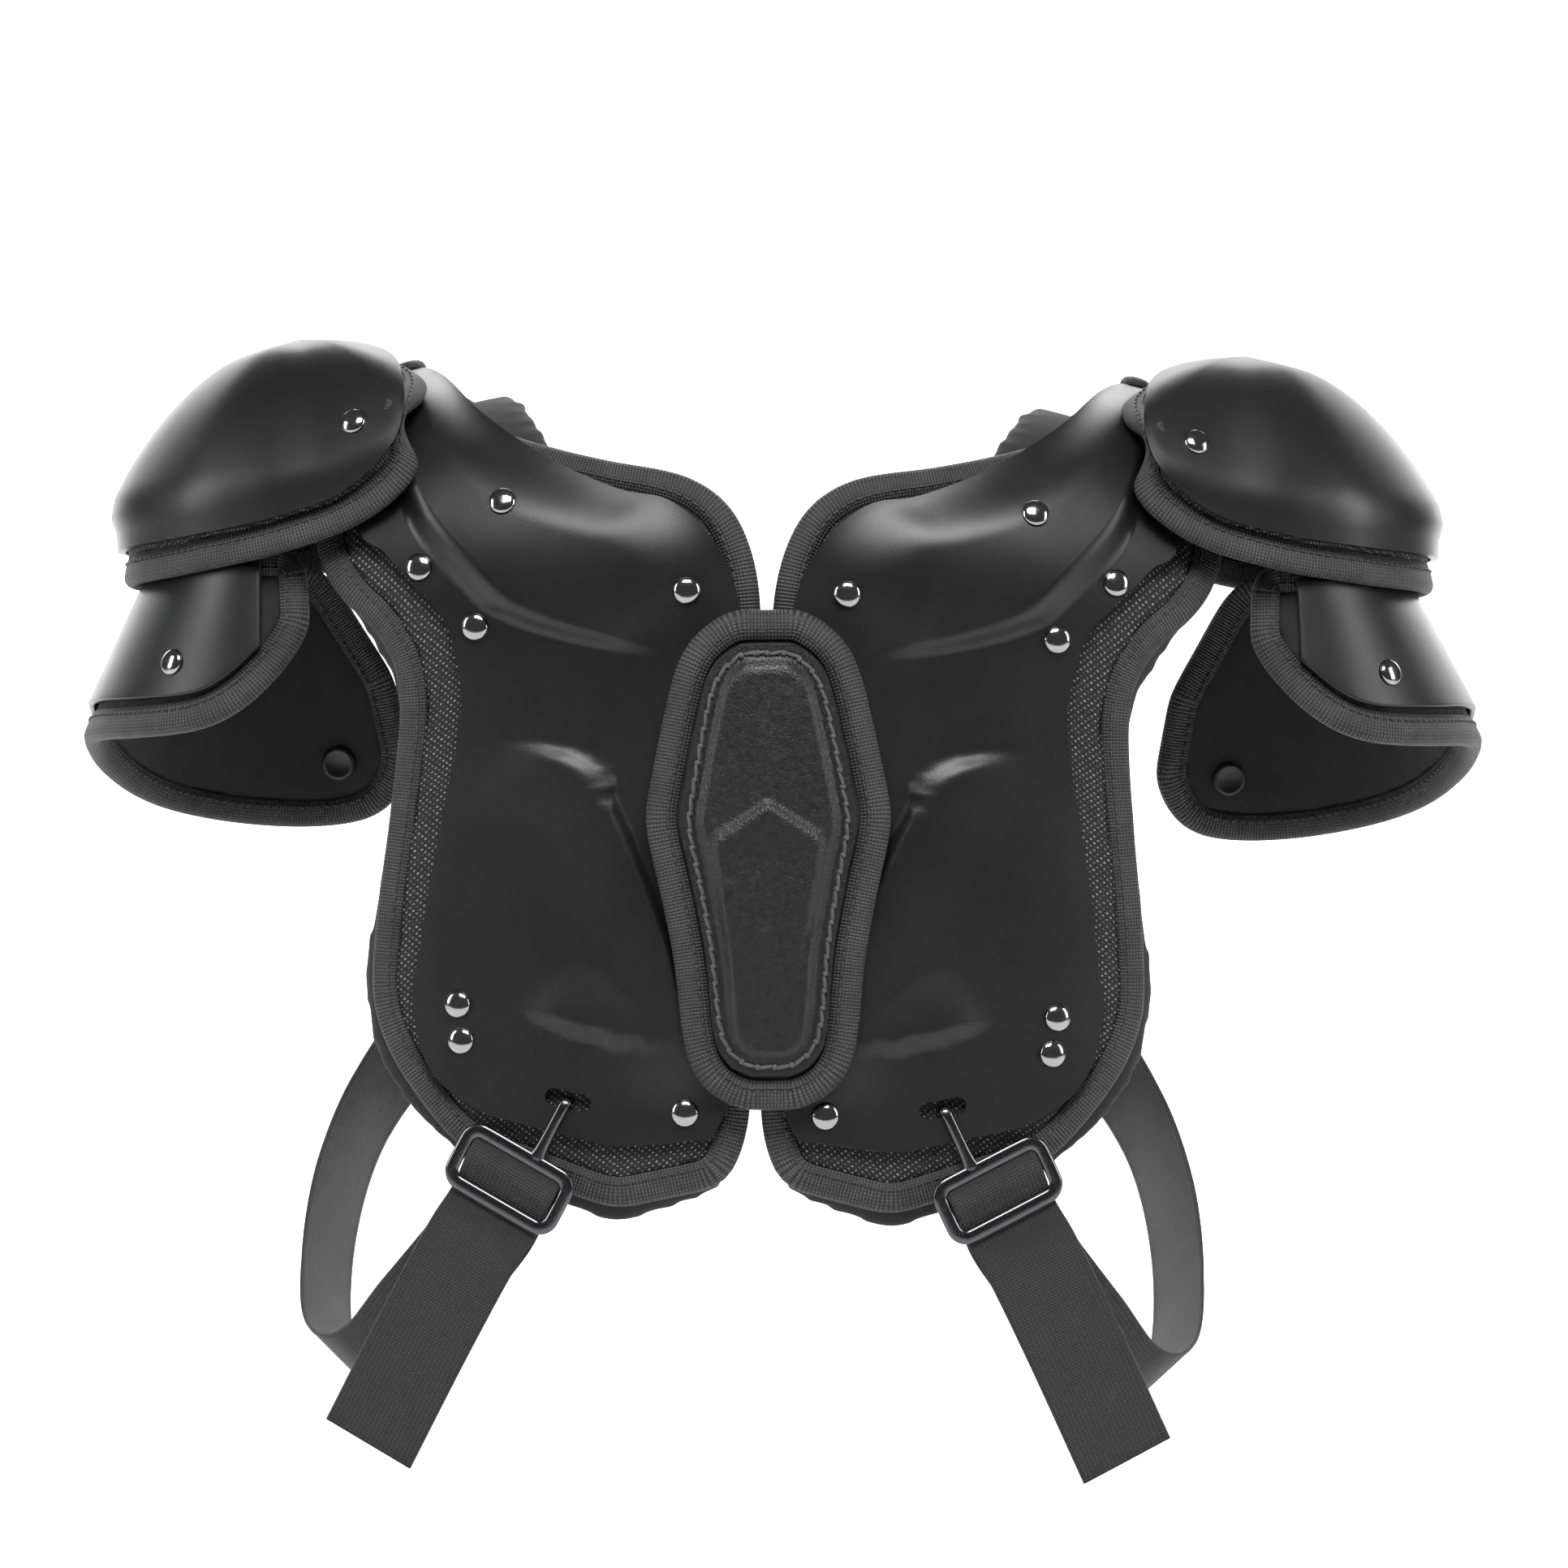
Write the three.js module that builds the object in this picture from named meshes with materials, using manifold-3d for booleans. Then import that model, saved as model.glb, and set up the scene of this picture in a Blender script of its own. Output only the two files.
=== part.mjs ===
// Football shoulder pad, in millimetres. +X is the wearer's left, which is the viewer's right, the chest
// faces -Y and +Z is up. The origin is where the pads rest on the shoulders, in the middle plane.
import * as THREE from "three";
import { mergeVertices } from "three/addons/utils/BufferGeometryUtils.js";
import Module from "manifold-3d";

const wasm = await Module();
wasm.setup();

// The body that the pads are shaped to
const BODY_HALF_DEPTH = 95;
const CHEST_HALF_WIDTH = 188;
const SHOULDER_HALF_WIDTH = 265;
const BODY_ROUNDNESS = 2.2;
const SHOULDER_ARC = 132;
const SHOULDER_DROP = 80;
const SHOULDER_PITCH = 0.25;
const SEAT_FROM_MIDDLE = 140;
const CHEST_BLEND = 70;

// The chest plate, whose width and fall the tables of panels follow
const PLATE_WIDTH = 120;
const PLATE_FALL = 350;
const PLATE_THICKNESS = 3;
const ARCH_RAISE = 8;
const CREASE_WIDTH = 8;
const SLOT_LENGTH = 18;
const SLOT_HEIGHT = 6.7;
const SLOT_TILT = 11;
const SLOT_OUT_SHARE = 0.555;
const SLOT_FALL_SHARE = 0.931;
const POCKET_LENGTH = 30;
const POCKET_HEIGHT = 16.4;
const POCKET_DEPTH = 11;

// The layers under the plate, measured out from the body
const PAD_THICKNESS = 12.6;
const LINER_THICKNESS = 7.3;
const LAYER_GAP = 1;
const TOUCH_GAP = 0.3;
const CUT_TOLERANCE = 0.08;
const BINDING_WIDTH = 9;
const BINDING_GAP = 0.6;
const PAD_EDGE_ROUNDING = 4;
// Over the shoulder the soft layers are thinner, from one fall to the other, and leave the arch free
const THIN_FROM = 140;
const THIN_TO = 75;
const PAD_THINNING = 3.8;
const LINER_BOTTOM_THINNING = 2.3;
const LINER_TOP_THINNING = 4.6;
const BACK_SPREAD = 0.8;

// The shoulder cap and the arm plate that hangs under it
const CAP_CENTRE = 185;
const CAP_TOP = 34.4;
const CAP_REACH = 81;
const CAP_HALF_DEPTH = 111;
const CAP_RIDGE = 45;
const CAP_DROP = 98;
const CAP_MARGIN = 11;
const CAP_PAD_THICKNESS = 6;
const CAP_LAYER_GAP = 1.8;
const CAP_TURN = 2.8;
const CAP_PIVOT_OUT = 165;
const CAP_PIVOT_UP = 30;
const ARM_CENTRE = 195;
const ARM_TOP = -57;
const ARM_FALL = 91;
const ARM_HALF_WIDTH = 44;
const ARM_HALF_DEPTH = 78;
const ARM_FLARE_OUT = 0.5;
const ARM_FLARE_DEPTH = 0.15;
const ARM_ARC_RADIUS = 80;
const ARM_PAD_THICKNESS = 7;
const ARM_STEPS = 2;
const ARM_WEB_WIDTH = 25;

// The breastbone shield
const SHIELD_HALF_WIDTH = 46;
const SHIELD_FALL = 122;
const SHIELD_HEIGHT = 187;
const SHIELD_TILT = 1.8;
const SHIELD_LIFT = 26;
const SHIELD_PAD_THICKNESS = 8;
const SHIELD_MARGIN = 13;

// The rivets, the buckles, the webbing and the plain plate behind
const RIVET_RADIUS = 5.2;
const RIVET_HEIGHT = 2.6;
const RIVET_SIDES = 8;
const BUTTON_RADIUS = 7;
const RIVET_SHOULDER = 0.8;
const RIVET_SHOULDER_HEIGHT = 0.65;
const BUTTON_STAND = 1.6;
const ARM_RIVET_SINK = 1.3;
const WEBBING_WIDTH = 38;
const WEBBING_THICKNESS = 1.8;
const HOOK_WINDOW_WIDTH = 41;
const HOOK_WINDOW_HEIGHT = 19;
const HOOK_WIRE = 2.8;
const HOOK_OUT = 92;
const HOOK_FALL = 338;
const HOOK_TILT = 27;
const HOOK_BAR_LENGTH = 20;
const HOOK_BAR_STAND = 1.5;
const HOOK_SHANK_WIDTH = 4;
const HOOK_SHANK_DEPTH = 2.4;
const HOOK_NECK_WIDTH = 3.6;
const FREE_END = 103;
const FOLD_CLEARANCE = 1.2;
const LOOP_OUT = 168;
const LOOP_DEPTH = 104;
const LOOP_FALL = 346;
const LOOP_START = 52;
const HINGE_LENGTH = 14;
const HINGE_STAND = 2.6;
const BRIDGE_WIDTH = 84;
const BRIDGE_HEIGHT = 64;
const BRIDGE_FALL = 202;

// The height at which a fall along the body would start if it ran straight down
const FALL_START = SHOULDER_ARC - SHOULDER_DROP;
const LINER_BOTTOM = PAD_THICKNESS + LAYER_GAP;
const LINER_TOP = LINER_BOTTOM + LINER_THICKNESS;
const PLATE_BOTTOM = LINER_TOP + LAYER_GAP;
const PLATE_TOP = PLATE_BOTTOM + PLATE_THICKNESS;
const SHIELD_PLATE_LIFT = SHIELD_LIFT + SHIELD_PAD_THICKNESS + TOUCH_GAP;

const plastic = new THREE.MeshStandardMaterial({ color: 0x141414, roughness: 0.45, metalness: 0 });
const mesh_cloth = new THREE.MeshStandardMaterial({ color: 0x1c1c1e, roughness: 0.9, metalness: 0 });
const soft_cloth = new THREE.MeshStandardMaterial({ color: 0x232326, roughness: 0.85, metalness: 0 });
const tape = new THREE.MeshStandardMaterial({ color: 0x19191b, roughness: 0.8, metalness: 0 });
const leather = new THREE.MeshStandardMaterial({ color: 0x171717, roughness: 0.55, metalness: 0 });
const dark_metal = new THREE.MeshStandardMaterial({ color: 0x2a2a2c, roughness: 0.2, metalness: 0.9 });

const radians = THREE.MathUtils.degToRad;
const vector = (x, y, z) => new THREE.Vector3(x, y, z);

// Half the body's depth at a distance out from the middle plane and a fall along the surface
function bodyHalfDepth(out, fall) {
  const blend = THREE.MathUtils.smoothstep(fall, SHOULDER_ARC * 0.6, SHOULDER_ARC + CHEST_BLEND);
  const width = THREE.MathUtils.lerp(SHOULDER_HALF_WIDTH, CHEST_HALF_WIDTH, blend);
  const rest = Math.max(0.02, 1 - (out / width) ** BODY_ROUNDNESS);
  return BODY_HALF_DEPTH * rest ** (1 / BODY_ROUNDNESS);
}

// A point on the body: out from the middle, and a fall from the shoulder's ridge, front + and back -
function bodyPoint(out, fall) {
  const front = fall >= 0 ? 1 : -1;
  const length = Math.abs(fall);
  const depth = bodyHalfDepth(out, length);
  const ridge = SHOULDER_PITCH * (SEAT_FROM_MIDDLE - out);
  if (length >= SHOULDER_ARC) {
    return vector(out, -front * depth, ridge - SHOULDER_DROP - (length - SHOULDER_ARC));
  }
  const turn = (length / SHOULDER_ARC) * (Math.PI / 2);
  return vector(out, -front * depth * Math.sin(turn), ridge - SHOULDER_DROP * (1 - Math.cos(turn)));
}

// The outward direction there
function bodyNormal(out, fall) {
  const step = 0.5;
  const across = bodyPoint(out + step, fall).sub(bodyPoint(out - step, fall));
  const along = bodyPoint(out, fall + step).sub(bodyPoint(out, fall - step));
  const normal = across.cross(along).normalize();
  const turn = Math.min(1, Math.abs(fall) / SHOULDER_ARC) * (Math.PI / 2);
  const guide = vector(0, -Math.sign(fall) * Math.sin(turn), Math.cos(turn));
  return normal.dot(guide) < 0 ? normal.negate() : normal;
}

// A point of a layer that lies a given height above the body
function onBody(out, fall, lift) {
  return bodyPoint(out, fall).addScaledVector(bodyNormal(out, fall), lift);
}

// Turns a list of corner numbers and points into a closed solid whose faces point out
function solid(points, faces) {
  let volume = 0;
  for (const [a, b, c] of faces) {
    volume += points[a].dot(points[b].clone().cross(points[c]));
  }
  const geometry = new THREE.BufferGeometry();
  const numbers = points.flatMap((point) => point.toArray());
  geometry.setAttribute("position", new THREE.Float32BufferAttribute(numbers, 3));
  geometry.setIndex(faces.flatMap(([a, b, c]) => (volume > 0 ? [a, b, c] : [a, c, b])));
  return geometry;
}

// A sheet with a thickness, from two grids of points that face each other
function sheetSolid(upper, lower) {
  const rows = upper.length;
  const columns = upper[0].length;
  const points = [...upper.flat(), ...lower.flat()];
  const count = rows * columns;
  const faces = [];
  const at = (row, column) => row * columns + column;
  for (let row = 0; row < rows - 1; row += 1) {
    for (let column = 0; column < columns - 1; column += 1) {
      const corners = [at(row, column), at(row, column + 1), at(row + 1, column + 1), at(row + 1, column)];
      const [a, b, c, d] = corners;
      faces.push([a, b, c], [a, c, d]);
      faces.push([a + count, c + count, b + count], [a + count, d + count, c + count]);
    }
  }
  const rim = [];
  for (let column = 0; column < columns - 1; column += 1) rim.push(at(0, column));
  for (let row = 0; row < rows - 1; row += 1) rim.push(at(row, columns - 1));
  for (let column = columns - 1; column > 0; column -= 1) rim.push(at(rows - 1, column));
  for (let row = rows - 1; row > 0; row -= 1) rim.push(at(row, 0));
  rim.forEach((a, index) => {
    const b = rim[(index + 1) % rim.length];
    faces.push([b, a, a + count], [b, a + count, b + count]);
  });
  return solid(points, faces);
}

// A band whose sections are joined one to the next, closed into a ring or with flat ends
function bandSolid(sections, closed) {
  const sides = sections[0].length;
  const points = sections.flat();
  const faces = [];
  const last = closed ? sections.length : sections.length - 1;
  for (let index = 0; index < last; index += 1) {
    const next = (index + 1) % sections.length;
    for (let side = 0; side < sides; side += 1) {
      const a = index * sides + side;
      const b = index * sides + ((side + 1) % sides);
      const c = next * sides + ((side + 1) % sides);
      const d = next * sides + side;
      faces.push([a, b, c], [a, c, d]);
    }
  }
  if (!closed) {
    const end = (sections.length - 1) * sides;
    for (let side = 1; side < sides - 1; side += 1) {
      faces.push([0, side + 1, side], [end, end + side, end + side + 1]);
    }
  }
  return solid(points, faces);
}

// A round sheet: rings of points round a top point, above and below
function domeSolid(upperTop, upperRings, lowerTop, lowerRings) {
  const sides = upperRings[0].length;
  const points = [upperTop, ...upperRings.flat(), lowerTop, ...lowerRings.flat()];
  const lowerStart = 1 + upperRings.length * sides;
  const faces = [];
  const skin = (start, rings, flip) => {
    const at = (ring, side) => start + 1 + ring * sides + (side % sides);
    const add = (a, b, c) => faces.push(flip ? [a, c, b] : [a, b, c]);
    for (let side = 0; side < sides; side += 1) {
      add(start, at(0, side), at(0, side + 1));
      for (let ring = 0; ring < rings - 1; ring += 1) {
        add(at(ring, side), at(ring + 1, side), at(ring + 1, side + 1));
        add(at(ring, side), at(ring + 1, side + 1), at(ring, side + 1));
      }
    }
  };
  skin(0, upperRings.length, false);
  skin(lowerStart, lowerRings.length, true);
  const upperRim = 1 + (upperRings.length - 1) * sides;
  const lowerRim = lowerStart + 1 + (lowerRings.length - 1) * sides;
  for (let side = 0; side < sides; side += 1) {
    const next = (side + 1) % sides;
    faces.push([upperRim + side, lowerRim + side, lowerRim + next]);
    faces.push([upperRim + side, lowerRim + next, upperRim + next]);
  }
  return solid(points, faces);
}

// Rows of a panel. Each runs from its inner end over a middle point to its outer end. The out columns are
// shares of the plate's width, the fall columns shares of its fall, and raise a share of the arch's.
const rowNames = ["innerOut", "innerFall", "middleOut", "middleFall", "outerOut", "outerFall", "raise"];
const rowsOf = (table) => table.map((row) => Object.fromEntries(rowNames.map((name, i) => [name, row[i] ?? 0])));

const FRONT_SHELL_ROWS = rowsOf([
  [0.13, 1.005, 0.42, 0.99, 0.81, 0.926],
  [0.08, 0.965, 0.42, 0.955, 0.95, 0.875],
  [0.08, 0.87, 0.42, 0.87, 1.013, 0.797],
  [0.08, 0.77, 0.42, 0.77, 0.995, 0.73],
  [0.08, 0.67, 0.42, 0.67, 0.965, 0.65],
  [0.08, 0.585, 0.4, 0.595, 0.933, 0.58],
  [0.08, 0.515, 0.37, 0.525, 0.911, 0.52],
  [0.08, 0.457, 0.32, 0.483, 0.908, 0.49, 0],
  [0.1, 0.411, 0.43, 0.457, 0.908, 0.466, 0.15],
  [0.167, 0.363, 0.558, 0.434, 0.917, 0.443, 0.5],
  [0.292, 0.324, 0.7, 0.406, 0.935, 0.417, 0.75],
  [0.433, 0.306, 0.817, 0.376, 0.96, 0.389, 0.9],
  [0.6, 0.274, 0.9, 0.347, 0.996, 0.366, 1],
  [0.75, 0.234, 0.983, 0.317, 1.067, 0.34, 1],
  [0.892, 0.18, 1.05, 0.283, 1.158, 0.306, 1],
  [1.008, 0.109, 1.1, 0.229, 1.242, 0.274, 0.9],
  [1.092, 0.05, 1.15, 0.125, 1.267, 0.166, 0.5],
  [1.142, 0.009, 1.2, 0.009, 1.267, 0.009, 0.1],
]);
const FRONT_LINER_ROWS = rowsOf([
  [0.12, 1.029, 0.42, 1.011, 0.867, 0.92],
  [0.086, 0.99, 0.42, 0.977, 1.017, 0.857],
  [0.086, 0.914, 0.5, 0.908, 1.092, 0.79],
  [0.086, 0.8, 0.5, 0.8, 1.096, 0.737],
  [0.086, 0.686, 0.5, 0.686, 1.08, 0.663],
  [0.086, 0.586, 0.5, 0.586, 1.054, 0.586],
  [0.086, 0.509, 0.5, 0.514, 1.044, 0.509],
  [0.086, 0.457, 0.5, 0.471, 1.046, 0.457],
  [0.108, 0.42, 0.542, 0.429, 1.075, 0.406],
  [0.158, 0.386, 0.583, 0.394, 1.158, 0.357],
  [0.233, 0.361, 0.667, 0.354, 1.25, 0.326],
  [0.333, 0.339, 0.767, 0.314, 1.325, 0.286],
  [0.433, 0.323, 0.875, 0.263, 1.35, 0.229],
  [0.66, 0.283, 0.95, 0.223, 1.35, 0.183],
  [0.833, 0.234, 1.033, 0.166, 1.34, 0.137],
  [0.967, 0.171, 1.1, 0.12, 1.31, 0.097],
]);
const BODY_PAD_ROWS = rowsOf([
  [0.083, 1.051, 0.417, 1.046, 0.9, 0.954],
  [0.033, 1.006, 0.5, 1, 1.117, 0.891],
  [0.033, 0.886, 0.583, 0.857, 1.225, 0.8],
  [0.033, 0.757, 0.583, 0.749, 1.233, 0.709],
  [0.033, 0.643, 0.583, 0.629, 1.192, 0.614],
  [0.033, 0.529, 0.583, 0.52, 1.158, 0.514],
  [0.067, 0.451, 0.6, 0.443, 1.2, 0.429],
  [0.167, 0.391, 0.65, 0.377, 1.3, 0.354],
  [0.35, 0.343, 0.75, 0.314, 1.383, 0.291],
  [0.517, 0.28, 0.875, 0.251, 1.4, 0.229],
  [0.633, 0.194, 0.933, 0.171, 1.383, 0.157],
  [0.7, 0.1, 0.983, 0.086, 1.333, 0.08],
  [0.725, 0, 1, 0, 1.3, 0],
  [0.7, -0.091, 0.967, -0.091, 1.317, -0.091],
  [0.583, -0.171, 0.9, -0.177, 1.35, -0.183],
  [0.375, -0.234, 0.792, -0.263, 1.333, -0.28],
  [0.167, -0.263, 0.667, -0.329, 1.25, -0.357],
  [0.05, -0.314, 0.583, -0.414, 1.175, -0.443],
  [0.033, -0.429, 0.583, -0.529, 1.15, -0.543],
  [0.033, -0.6, 0.583, -0.643, 1.183, -0.643],
  [0.033, -0.757, 0.5, -0.771, 1.167, -0.749],
  [0.067, -0.891, 0.417, -0.909, 0.983, -0.871],
]);
const BACK_SHELL_ROWS = rowsOf([
  [1.142, -0.009, 1.2, -0.009, 1.267, -0.009],
  [1.083, -0.069, 1.183, -0.086, 1.275, -0.114],
  [0.95, -0.131, 1.117, -0.177, 1.267, -0.217],
  [0.75, -0.177, 0.983, -0.251, 1.183, -0.297],
  [0.5, -0.211, 0.792, -0.303, 1.067, -0.354],
  [0.283, -0.24, 0.625, -0.349, 0.958, -0.417],
  [0.117, -0.286, 0.5, -0.406, 0.917, -0.491],
  [0.079, -0.371, 0.458, -0.5, 0.933, -0.586],
  [0.079, -0.514, 0.458, -0.614, 0.983, -0.686],
  [0.079, -0.671, 0.458, -0.729, 0.983, -0.771],
  [0.117, -0.814, 0.417, -0.829, 0.817, -0.846],
]);
const BACK_LINER_ROWS = rowsOf([
  [1, -0.12, 1.14, -0.12, 1.3, -0.13],
  [0.9, -0.18, 1.1, -0.2, 1.32, -0.22],
  [0.717, -0.229, 1, -0.263, 1.28, -0.3],
  [0.5, -0.257, 0.833, -0.317, 1.2, -0.357],
  [0.3, -0.28, 0.667, -0.357, 1.125, -0.4],
  [0.133, -0.32, 0.542, -0.429, 1.067, -0.471],
  [0.086, -0.4, 0.5, -0.529, 1.05, -0.571],
  [0.086, -0.571, 0.5, -0.643, 1.092, -0.671],
  [0.086, -0.729, 0.458, -0.757, 1.067, -0.771],
  [0.125, -0.851, 0.417, -0.857, 0.875, -0.857],
]);

// The points of one row, as [out, fall, raise], with the step of the arch at the middle where it is raised
function rowPoints(row, innerSteps, outerSteps) {
  const inner = new THREE.Vector2(row.innerOut * PLATE_WIDTH, row.innerFall * PLATE_FALL);
  const middle = new THREE.Vector2(row.middleOut * PLATE_WIDTH, row.middleFall * PLATE_FALL);
  const outer = new THREE.Vector2(row.outerOut * PLATE_WIDTH, row.outerFall * PLATE_FALL);
  const high = middle.clone().add(inner.clone().sub(middle).setLength(CREASE_WIDTH / 2));
  const low = middle.clone().add(outer.clone().sub(middle).setLength(CREASE_WIDTH / 2));
  const points = [];
  for (let step = 0; step <= innerSteps; step += 1) {
    const point = inner.clone().lerp(high, step / innerSteps);
    points.push([point.x, point.y, row.raise * ARCH_RAISE]);
  }
  for (let step = 0; step <= outerSteps; step += 1) {
    const point = low.clone().lerp(outer, step / outerSteps);
    points.push([point.x, point.y, 0]);
  }
  return points;
}

// How much of the thinning over the shoulder there is at a fall
const thinning = (fall) => 1 - THREE.MathUtils.smoothstep(Math.abs(fall), THIN_TO, THIN_FROM);

// A layer's face: its height above the body, and how far it is lowered over the shoulder
const level = (lift, lowered = 0) => ({ lift, lowered });

// A layer of the pad between two faces, on one side of the body
function panel(rows, side, bottom, top, innerSteps, outerSteps, rounding = 0) {
  const grid = rows.map((row) => rowPoints(row, innerSteps, outerSteps));
  const lastRow = grid.length - 1;
  const lastColumn = grid[0].length - 1;
  const layer = (face, drop) => grid.map((row, r) => row.map(([out, fall, raise], c) => {
    const onEdge = r === 0 || c === 0 || r === lastRow || c === lastColumn;
    const lift = face.lift - face.lowered * thinning(fall);
    const point = onBody(out, fall, lift + raise - (onEdge ? drop : 0));
    return point.setX(point.x * side);
  }));
  return sheetSolid(layer(top, rounding), layer(bottom, 0));
}

// The loop round the edge of a grid. Each entry pairs an edge item with the item beside it, further in.
function gridLoop(grid) {
  const last = grid.length - 1;
  const end = grid[0].length - 1;
  const entry = (row, column) => {
    const insideRow = THREE.MathUtils.clamp(row, 1, last - 1);
    const insideColumn = THREE.MathUtils.clamp(column, 1, end - 1);
    return [grid[row][column], grid[insideRow][insideColumn]];
  };
  const loop = [];
  for (let column = 0; column < end; column += 1) loop.push(entry(0, column));
  for (let row = 0; row < last; row += 1) loop.push(entry(row, end));
  for (let column = end; column > 0; column -= 1) loop.push(entry(last, column));
  for (let row = last; row > 0; row -= 1) loop.push(entry(row, 0));
  return loop;
}

// A tape that binds the edge of a foam sheet. Each entry pairs the sheet's edge, given by its point, its
// outward direction and the heights of its two faces, with the point beside it, further in. spare makes the
// tape's room in the foam, which is wider than the tape by that much.
function binding(loop, spare = 0) {
  const sections = loop.map(([edge, inside], index) => {
    const before = loop[(index + loop.length - 1) % loop.length][0].point;
    const after = loop[(index + 1) % loop.length][0].point;
    const into = edge.point.clone().sub(before).normalize();
    const away = after.clone().sub(edge.point).normalize();
    const along = into.clone().add(away).normalize();
    const outward = along.clone().cross(edge.normal).normalize();
    if (outward.dot(inside.point.clone().sub(edge.point)) > 0) outward.negate();
    outward.multiplyScalar(1 / Math.max(0.6, along.dot(into)));
    const section = [
      [BINDING_GAP - spare, edge.bottom - spare],
      [BINDING_WIDTH * 0.75, edge.bottom - spare],
      [BINDING_WIDTH, (edge.bottom + edge.top) / 2],
      [BINDING_WIDTH * 0.75, edge.top + spare],
      [BINDING_GAP - spare, edge.top + spare],
    ];
    return section.map(([width, lift]) => edge.point.clone()
      .addScaledVector(outward, width).addScaledVector(edge.normal, lift));
  });
  return bandSolid(sections, true);
}

// The cap's rim, from the outer side round the front to the inner notch. out is a share of the cap's reach
// out from its centre, depth of its half depth and drop of its drop. Each way down to the rim starts on a
// short ridge over the shoulder, at the hub's share of the ridge.
const CAP_RIM = [
  { out: 1, depth: 0, drop: 1, hub: 0 },
  { out: 0.9, depth: 0.49, drop: 1, hub: 0.55 },
  { out: 0.56, depth: 0.8, drop: 0.99, hub: 0.9 },
  { out: 0.17, depth: 0.94, drop: 0.95, hub: 1 },
  { out: -0.2, depth: 0.99, drop: 0.86, hub: 1 },
  { out: -0.46, depth: 1.02, drop: 0.72, hub: 1 },
  { out: -0.6, depth: 1, drop: 0.56, hub: 1 },
  { out: -0.65, depth: 0.89, drop: 0.38, hub: 1 },
  { out: -0.63, depth: 0.71, drop: 0.21, hub: 0.9 },
  { out: -0.48, depth: 0.46, drop: 0.08, hub: 0.62 },
  { out: -0.31, depth: 0.2, drop: 0.02, hub: 0.27 },
  { out: -0.22, depth: 0, drop: 0.01, hub: 0 },
];
// Its section from the top to the rim: a dome, a hollow that is as deep as the drop, and a flange
const CAP_SECTION = [
  { way: 0, reach: 0, drop: 0, pinch: 0 },
  { way: 0.3, reach: 0.38, drop: 0.08, pinch: 0 },
  { way: 0.6, reach: 0.7, drop: 0.3, pinch: 0 },
  { way: 0.82, reach: 0.93, drop: 0.62, pinch: -0.02 },
  { way: 0.91, reach: 0.97, drop: 0.8, pinch: 0.04 },
  { way: 1, reach: 1, drop: 1, pinch: 0 },
];
const CAP_HALF_TURN = CAP_RIM.length - 1;
const CAP_TURNS = 2 * CAP_HALF_TURN;

// A value between two rows of a table
function fromTable(table, place, name) {
  const before = Math.min(table.length - 2, Math.floor(place));
  return THREE.MathUtils.lerp(table[before][name], table[before + 1][name], place - before);
}

function fromSection(way, name) {
  const after = Math.max(1, CAP_SECTION.findIndex((row) => row.way >= way - 1e-9));
  const span = CAP_SECTION[after].way - CAP_SECTION[after - 1].way;
  return fromTable(CAP_SECTION, after - 1 + (way - CAP_SECTION[after - 1].way) / span, name);
}

// A point of the cap: a place round the rim, in rows of its table and on round the back, and a way down
function capPoint(turn, way) {
  const wrapped = ((turn % CAP_TURNS) + CAP_TURNS) % CAP_TURNS;
  const front = wrapped <= CAP_HALF_TURN ? 1 : -1;
  const place = front > 0 ? wrapped : CAP_TURNS - wrapped;
  const rim = (name) => fromTable(CAP_RIM, place, name);
  const reach = fromSection(way, "reach") - fromSection(way, "pinch") * rim("drop");
  const hub = rim("hub") * CAP_RIDGE;
  const out = CAP_CENTRE + rim("out") * CAP_REACH * reach;
  const depth = THREE.MathUtils.lerp(hub, rim("depth") * CAP_HALF_DEPTH, reach);
  return vector(out, -front * depth, CAP_TOP - CAP_DROP * rim("drop") * fromSection(way, "drop"));
}

function capNormal(turn, way) {
  const along = capPoint(turn, Math.min(1, way + 0.03)).sub(capPoint(turn, Math.max(0, way - 0.03)));
  const around = capPoint(turn + 0.2, way).sub(capPoint(turn - 0.2, way));
  const normal = around.cross(along).normalize();
  const guide = capPoint(turn, 1).sub(capPoint(turn, 0)).setZ(0).setLength(0.5).add(vector(0, 0, 0.5));
  return normal.dot(guide) < 0 ? normal.negate() : normal;
}

const onCap = (turn, way, lift) => capPoint(turn, way).addScaledVector(capNormal(turn, way), lift);
const capTops = (lift) => vector(CAP_CENTRE, 0, CAP_TOP + lift);

// How far down to the rim the edge lies that keeps a margin to it
function capWay(turn, margin) {
  const rim = capPoint(turn, 1);
  const tangent = capPoint(turn + 0.2, 1).sub(capPoint(turn - 0.2, 1)).normalize();
  const down = rim.sub(capPoint(turn, 0));
  const across = down.addScaledVector(tangent, -down.dot(tangent)).length();
  return Math.max(0.35, 1 - margin / across);
}

const mirrored = (points, side) => points.map((point) => point.setX(point.x * side));
const capTurns = Array.from({ length: CAP_TURNS }, (_, turn) => turn);
const capRing = (share, margin, lift) =>
  capTurns.map((turn) => onCap(turn, capWay(turn, margin) * share, lift));
const capRings = (lift) => CAP_SECTION.slice(1).map((row) => capRing(row.way, CAP_MARGIN, lift));

function capShell(side) {
  const face = (lift) => [
    ...mirrored([capTops(lift)], side),
    capRings(lift).map((ring) => mirrored(ring, side)),
  ];
  return domeSolid(...face(0), ...face(-PLATE_THICKNESS));
}

function capPad(side) {
  const upper = -PLATE_THICKNESS - CAP_LAYER_GAP;
  const face = (lift) => [
    ...mirrored([capTops(lift)], side),
    [...capRings(lift), capRing(1, BINDING_WIDTH, lift)].map((ring) => mirrored(ring, side)),
  ];
  return domeSolid(...face(upper), ...face(upper - CAP_PAD_THICKNESS));
}

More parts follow.
